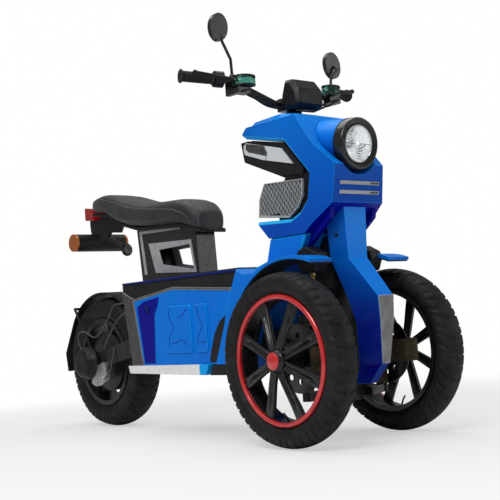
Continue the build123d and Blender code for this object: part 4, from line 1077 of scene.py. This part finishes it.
seat = piece("seat_pad", *seat_form(), LEATHER, "chassis")
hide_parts("seat_cushion")
remesh = seat.modifiers.new("even", "REMESH")
remesh.mode = "VOXEL"
remesh.voxel_size = SEAT_VOXEL
applied(seat)
swollen(seat, SEAT_PRESSURE, SWELL_CAP)
floor_line = np.interp(REAR_Y - vertex_rows(seat.data)[:, 1], *SEAT_LOW.T)
settled = vertex_rows(seat.data)
settled[:, 2] = np.maximum(settled[:, 2], floor_line)
moved(seat, settled)
SIDE_SEAM = [(-0.07, -0.004, 0.86), (-0.092, 0.03, 0.872), (-0.098, 0.1, 0.868),
             (-0.1, 0.19, 0.848), (-0.102, 0.296, 0.815), (-0.1, 0.399, 0.796),
             (-0.098, 0.5, 0.782), (-0.096, 0.565, 0.768), (-0.096, 0.612, 0.748),
             (-0.096, 0.634, 0.72), (-0.094, 0.64, 0.703)]
NOSE_SEAM = [(0, 0.585, 0.8), (-0.025, 0.59, 0.798), (-0.048, 0.606, 0.792), (-0.06, 0.63, 0.78),
             (-0.062, 0.655, 0.762), (-0.06, 0.67, 0.735), (-0.06, 0.67, 0.705)]
TAIL_SEAM = [(-0.098, 0.1, 0.868), (-0.07, 0.118, 0.878), (-0.03, 0.126, 0.882), (0, 0.128, 0.883)]
seam_runs = []
for seam in (SIDE_SEAM, NOSE_SEAM, TAIL_SEAM):
    seam_runs.append(laid_on(seat, seam, 0.0))
    seam_runs.append(laid_on(seat, [(-x, f, z) for x, f, z in seam], 0.0))
sewn(seat, seam_runs, SEAM_DEPTH, SEAM_REACH)
seat.data.polygons.foreach_set("use_smooth", np.full(len(seat.data.polygons), True))
if not seat.data.materials:
    seat.data.materials.append(LEATHER)
rounding = seat.modifiers.new("round", "SUBSURF")
rounding.levels = rounding.render_levels = 1
piping = []
for seam in (SIDE_SEAM, NOSE_SEAM, TAIL_SEAM):
    for sign in (1, -1):
        path = laid_on(seat, [(sign * x, f, z) for x, f, z in seam], 0.0006)
        piping.append(carried(circle(PIPING_R, 8), path, (0.31, 0.17, 0.93)))
extra("seat_piping", joined(piping), PIPING)


# Rear wheel: stepped axle cover, brake and pipes

COVER_IN, COVER_OUT = -0.107, -0.155
cover = [(0, 0), (0, 0.062), (0.012, 0.0622), (0.016, 0.0598), (0.018, 0.056), (0.040, 0.053),
         (0.046, 0.048), (0.048, 0.04), (0.0468, 0.02), (0.0462, 0)]
hub_middle = REAR_HUB + [COVER_IN, 0, 0]
stand_in("axle_cover_steps", "axle_cover", turned(cover, hub_middle, (-1, 0, 0), 72), BLACK_PLASTIC)
CALIPER = [(0.011, 0.173), (0.05, 0.235), (0.1, 0.25), (0.123, 0.207), (0.114, 0.18),
           (0.085, 0.165), (0.042, 0.16)]
caliper_shape = joined([plate(CALIPER, -0.119, -0.103),
                        drum((-0.119, at(0.092), 0.188), (-1, 0, 0), 0.013, 0.006),
                        drum((-0.119, at(0.05), 0.178), (-1, 0, 0), 0.009, 0.005)])
extra("rear_caliper", caliper_shape, ALLOY, smooth=False, soft=0.002)
PIPE_RUNS = [[(-0.108, 0.392, 0.478), (-0.114, 0.33, 0.468), (-0.118, 0.256, 0.462),
              (-0.12, 0.2, 0.455), (-0.12, 0.158, 0.411), (-0.12, 0.096, 0.36),
              (-0.12, 0.049, 0.345), (-0.124, -0.001, 0.366), (-0.128, -0.036, 0.366),
              (-0.13, -0.05, 0.335), (-0.13, -0.03, 0.3)],
             [(-0.106, 0.398, 0.45), (-0.112, 0.3, 0.44), (-0.115, 0.21, 0.4),
              (-0.112, 0.13, 0.33), (-0.108, 0.1, 0.3)],
             [(-0.107, 0.17, 0.3), (-0.119, 0.166, 0.252), (-0.121, 0.15, 0.215),
              (-0.12, 0.108, 0.19)]]
pipes = joined([bar(run, 0.0028, (1, 0, 0), 8) for run in PIPE_RUNS])
extra("rear_brake_pipes", pipes, GREY_PLASTIC)
axle_nut = drum((0.107, at(0), 0.2485), (1, 0, 0), 0.017, 0.01, 6, 0.05)
extra("axle_nut", axle_nut, ALLOY, smooth=False)


# Front suspension and hub trim


def spring(x, forward, low, high, radius, wire, turns):
    """Coil: angle grows evenly with the height; a round wire is carried along it."""
    t = np.linspace(0, 1, int(turns * 18) + 1)
    angle = 2 * math.pi * turns * t
    path = np.stack([x + radius * np.cos(angle), at(forward) + radius * np.sin(angle),
                     low + (high - low) * t], -1)
    return carried(circle(wire, 8), path, (0, 0, 1))


DAMPER_X, DAMPER_F = 0.092, 1.252
coils = on_both_sides(joined([
    spring(DAMPER_X, DAMPER_F, 0.332, 0.43, 0.021, 0.0042, 6),
    drum((DAMPER_X, at(DAMPER_F), 0.3245), (0, 0, 1), 0.024, 0.008),
    drum((DAMPER_X, at(DAMPER_F), 0.43), (0, 0, 1), 0.026, 0.01),
    drum((DAMPER_X, at(DAMPER_F), 0.33), (0, 0, 1), 0.015, 0.1)]))
stand_in("damper_springs", "dampers", coils, BLACK_GLOSS)
rods = on_both_sides(joined([drum((DAMPER_X, at(DAMPER_F), 0.44), (0, 0, 1), 0.006, 0.0585),
                             drum((DAMPER_X, at(DAMPER_F), 0.486), (0, 0, 1), 0.011, 0.0125)]))
extra("damper_rods", rods, GOLD)
for wheel_side, facing in SIDES.items():
    hub = FRONT_HUB[wheel_side]
    cap = np.array([(0, 0), (0, 0.025), (0.0028, 0.025), (0.0042, 0.0232), (0.0038, 0.0215),
                    (0.006, 0.0195), (0.0078, 0.0135), (0.0088, 0.006), (0.009, 0)])
    stand_in("red_hub_cap_" + wheel_side, "hub_cap_" + wheel_side,
             turned(cap, hub + [facing * HUB_OUT_X, 0, 0], (facing, 0, 0), 48), RED_PAINT,
             "wheel_front_" + wheel_side)
    bolts = [drum(hub + [facing * 0.0465, 0.0365 * math.sin(t), 0.0365 * math.cos(t)],
                  (facing, 0, 0), 0.0042, 0.004, 6, 0.1)
             for t in np.arange(4) * math.pi / 2]
    valve_run = [hub + [facing * x, 0, z]
                 for x, z in ((0.012, -0.174), (0.02, -0.158), (0.03, -0.147))]
    valve = carried(circle(0.0028, 8), valve_run, (1, 0, 0))
    extra("rim_fasteners_" + wheel_side, joined(bolts + [valve]), BLACK_GLOSS,
          "wheel_front_" + wheel_side)
cowl_bolt = drum((-0.049, at(1.318), 0.6), (-0.97, 0, 0.24), 0.006, 0.003, 12)
extra("cowl_bolts", on_both_sides(cowl_bolt), BLACK_PLASTIC)


# Handlebar: ribbed grips, cups, levers' pivots and cables

BAR_END = np.array([0.35, at(1.012), 1.111])
BAR_ELBOW = np.array([0.205, at(1.06), 1.101])
INWARD = (BAR_ELBOW - BAR_END) / np.linalg.norm(BAR_ELBOW - BAR_END)
grip_ends = np.linspace(0.006, 0.094, 12)
grip_line = [(-0.0038, 0.0112), (-0.0038, 0.0195), (-0.002, 0.0212), (0.0015, 0.0212),
             (0.003, 0.0178)]
for start in grip_ends[:-1]:
    grip_line += [(start, 0.0168), (start + 0.0045, 0.0168), (start + 0.005, 0.0158),
                  (start + 0.0072, 0.0158)]
grip_line += [(0.0975, 0.0168), (0.099, 0.0192), (0.1035, 0.0192), (0.1035, 0.0112)]
stand_in("ribbed_grips", "grips", on_both_sides(turned(grip_line, BAR_END, INWARD, 40)),
         RUBBER, "handlebar")
CUP = np.array([0.18, at(1.109), 1.092])
cup_band = [(-0.0095, 0), (-0.0095, 0.0192), (-0.0085, 0.0202), (0.0065, 0.0202), (0.0065, 0)]
cup_lid = [(0.0066, 0), (0.0066, 0.0208), (0.0105, 0.0208), (0.0118, 0.0195), (0.0118, 0)]
cup_foot = [(-0.0119, 0), (-0.0119, 0.0205), (-0.0096, 0.0205), (-0.0096, 0)]
CUP_SPREAD = np.array([1.7, 1.2, 1.35])


def cup_part(profile):
    """Turned shape widened to an oval box: middle + (place - middle) * spread, axis by axis."""
    points, faces = turned(profile, CUP, (0, 0, 1), 40)
    return CUP + (np.asarray(points) - CUP) * CUP_SPREAD, faces


stand_in("cup_bands", "fluid_cups", on_both_sides(cup_part(cup_band)), CUP_GREEN, "handlebar")
extra("cup_lids", on_both_sides(joined([cup_part(cup_lid), cup_part(cup_foot)])),
      BLACK_GLOSS, "handlebar")
screws = [drum(CUP + [d, d, 0.0157], (0, 0, 1), 0.0028, 0.0016, 10) for d in (0.011, -0.011)]
extra("cup_screws", on_both_sides(joined(screws)), ALLOY, "handlebar")
CABLES = [[(0.212, 1.066, 1.078), (0.19, 1.084, 1.066), (0.15, 1.1, 1.046), (0.105, 1.112, 1.026),
           (0.062, 1.118, 1.016), (0.033, 1.115, 1.02)],
          [(0.206, 1.05, 1.08), (0.17, 1.066, 1.07), (0.128, 1.078, 1.052), (0.085, 1.084, 1.03),
           (0.05, 1.09, 1.022), (0.033, 1.095, 1.022)]]
cables = joined([bar(run, 0.0036, (0, 0, 1), 8) for run in CABLES])
extra("bar_cables", on_both_sides(cables), RUBBER, "handlebar")
pivots = [drum(place, (0, 0, 1), radius, height, 20)
          for place, radius, height in (((0.2125, at(1.072), 1.101), 0.009, 0.006),
                                        ((0.206, at(1.08), 1.102), 0.0085, 0.012))]
extra("control_pivots", on_both_sides(joined(pivots)), BLACK_GLOSS, "handlebar")
VISOR = [(1.1255, 1.034), (1.1235, 1.052), (1.1405, 1.0965), (1.1435, 1.0955), (1.1275, 1.0525),
         (1.1292, 1.036)]
extra("pod_screen", plate(VISOR, -0.044, 0.044), BLACK_GLOSS, "handlebar",
      smooth=False, soft=0.0006)


# Tail: reflector disc and its stem

REFLECTOR_AT = np.array([0.053, at(0.045), 0.677])
disc = joined([turned([(0, 0), (0, 0.024), (0.004, 0.025), (0.008, 0.022), (0.009, 0.015),
                       (0.0075, 0.008), (0.008, 0)],
                      REFLECTOR_AT, (0, -1, 0), 40),
               bar([(0.053, 0.042, 0.68), (0.045, 0.02, 0.7), (0.03, -0.01, 0.722),
                    (0.01, -0.03, 0.735)], 0.006)])
extra("tail_disc", disc, BLACK_GLOSS)


# Stage, light and camera


def soft_lamp(name, place, target, size, power):
    """Rectangular soft box that faces a place."""
    light = bpy.data.lights.new(name, "AREA")
    light.shape = "RECTANGLE"
    light.size, light.size_y = size
    light.energy = power
    obj = bpy.data.objects.new(name, light)
    obj.location = place
    obj.rotation_euler = (Vector(place) - Vector(target)).to_track_quat("Z", "Y").to_euler()
    bpy.context.collection.objects.link(obj)


def camera_sees(tree):
    """1 for the camera and for what mirrors and glass show, 0 for light on the object."""
    path = add_node(tree, "LightPath")
    either = add_node(tree, "Math", operation="MAXIMUM")
    tree.links.new(path.outputs["Is Camera Ray"], either.inputs[0])
    tree.links.new(path.outputs["Is Transmission Ray"], either.inputs[1])
    return either.outputs["Value"]


def make_floor():
    """Pale floor that keeps a light shadow."""
    mesh = build_mesh("floor", [(-40, -40, 0), (40, -40, 0), (40, 40, 0), (-40, 40, 0)],
                      [[0, 1, 2, 3]])
    material = bpy.data.materials.new("floor_pale")
    material.use_nodes = True
    tree = material.node_tree
    shader = tree.nodes["Principled BSDF"]
    set_socket(shader, "Base_Color", (0.86, 0.86, 0.86, 1))
    set_socket(shader, "Roughness", 0.9)
    glow = add_node(tree, "Emission", Color=(1, 1, 0.985, 1), Strength=1.0)
    coords = add_node(tree, "TexCoord")
    away = add_node(tree, "VectorMath", operation="LENGTH")
    tree.links.new(coords.outputs["Object"], away.inputs[0])
    fade = add_node(tree, "MapRange", interpolation_type="SMOOTHSTEP",
                    From_Min=1.1, From_Max=2.6, To_Min=0.52, To_Max=1.0)
    tree.links.new(away.outputs["Value"], fade.inputs["Value"])
    share = add_node(tree, "Math", operation="MULTIPLY")
    tree.links.new(fade.outputs["Result"], share.inputs[1])
    tree.links.new(camera_sees(tree), share.inputs[0])
    mix = add_node(tree, "MixShader")
    tree.links.new(share.outputs["Value"], mix.inputs[0])
    tree.links.new(shader.outputs["BSDF"], mix.inputs[1])
    tree.links.new(glow.outputs["Emission"], mix.inputs[2])
    tree.links.new(mix.outputs["Shader"], tree.nodes["Material Output"].inputs["Surface"])
    mesh.materials.append(material)
    floor = bpy.data.objects.new("floor", mesh)
    bpy.context.collection.objects.link(floor)


def make_world():
    """White room: full white to the camera, plain soft light on the object."""
    world = bpy.data.worlds.new("white_room")
    bpy.context.scene.world = world
    world.use_nodes = True
    tree = world.node_tree
    back = tree.nodes["Background"]
    back.inputs["Color"].default_value = (1, 1, 0.99, 1)
    power = add_node(tree, "MapRange", To_Min=0.28, To_Max=1.0)
    tree.links.new(camera_sees(tree), power.inputs["Value"])
    tree.links.new(power.outputs["Result"], back.inputs["Strength"])


CAMERA_YAW = math.radians(-39.86)
CAMERA_PITCH = math.radians(-3.86)
CAMERA_ROLL = math.radians(-3.90)
CAMERA_DISTANCE = 3.442
LOOK_AHEAD = 0.861
LOOK_HEIGHT = 0.599
FOCAL_PIXELS = 1048
PHOTO_PIXELS = 500
SENSOR = 36.0


def make_camera():
    """Camera at the photograph's angle: back axis from yaw and pitch, then rolled about it."""
    cy, sy = math.cos(CAMERA_YAW), math.sin(CAMERA_YAW)
    cp, sp = math.cos(CAMERA_PITCH), math.sin(CAMERA_PITCH)
    back = Vector((cp * sy, -cp * cy, sp))
    right = (-back).cross(Vector((0, 0, 1))).normalized()
    up = right.cross(-back)
    cr, sr = math.cos(CAMERA_ROLL), math.sin(CAMERA_ROLL)
    rolled_right = cr * right + sr * up
    rolled_up = -sr * right + cr * up
    place = Vector((0, at(LOOK_AHEAD), LOOK_HEIGHT)) + back * CAMERA_DISTANCE
    data = bpy.data.cameras.new("photo_camera")
    data.sensor_fit = "HORIZONTAL"
    data.sensor_width = SENSOR
    data.lens = SENSOR * FOCAL_PIXELS / PHOTO_PIXELS
    data.clip_end = 50
    camera = bpy.data.objects.new("photo_camera", data)
    matrix = Matrix((rolled_right, rolled_up, back)).transposed().to_4x4()
    matrix.translation = place
    camera.matrix_world = matrix
    bpy.context.collection.objects.link(camera)
    bpy.context.scene.camera = camera


make_floor()
make_world()
make_camera()
AIM = (0.0, -0.1, 0.6)
soft_lamp("key", (-2.6, -1.6, 3.2), AIM, (2.4, 1.6), 78)
soft_lamp("fill", (2.8, -3.0, 1.6), AIM, (1.8, 1.8), 18)
soft_lamp("top", (0.2, 0.3, 3.4), AIM, (2.6, 2.6), 50)
bpy.context.scene.view_settings.view_transform = "Standard"
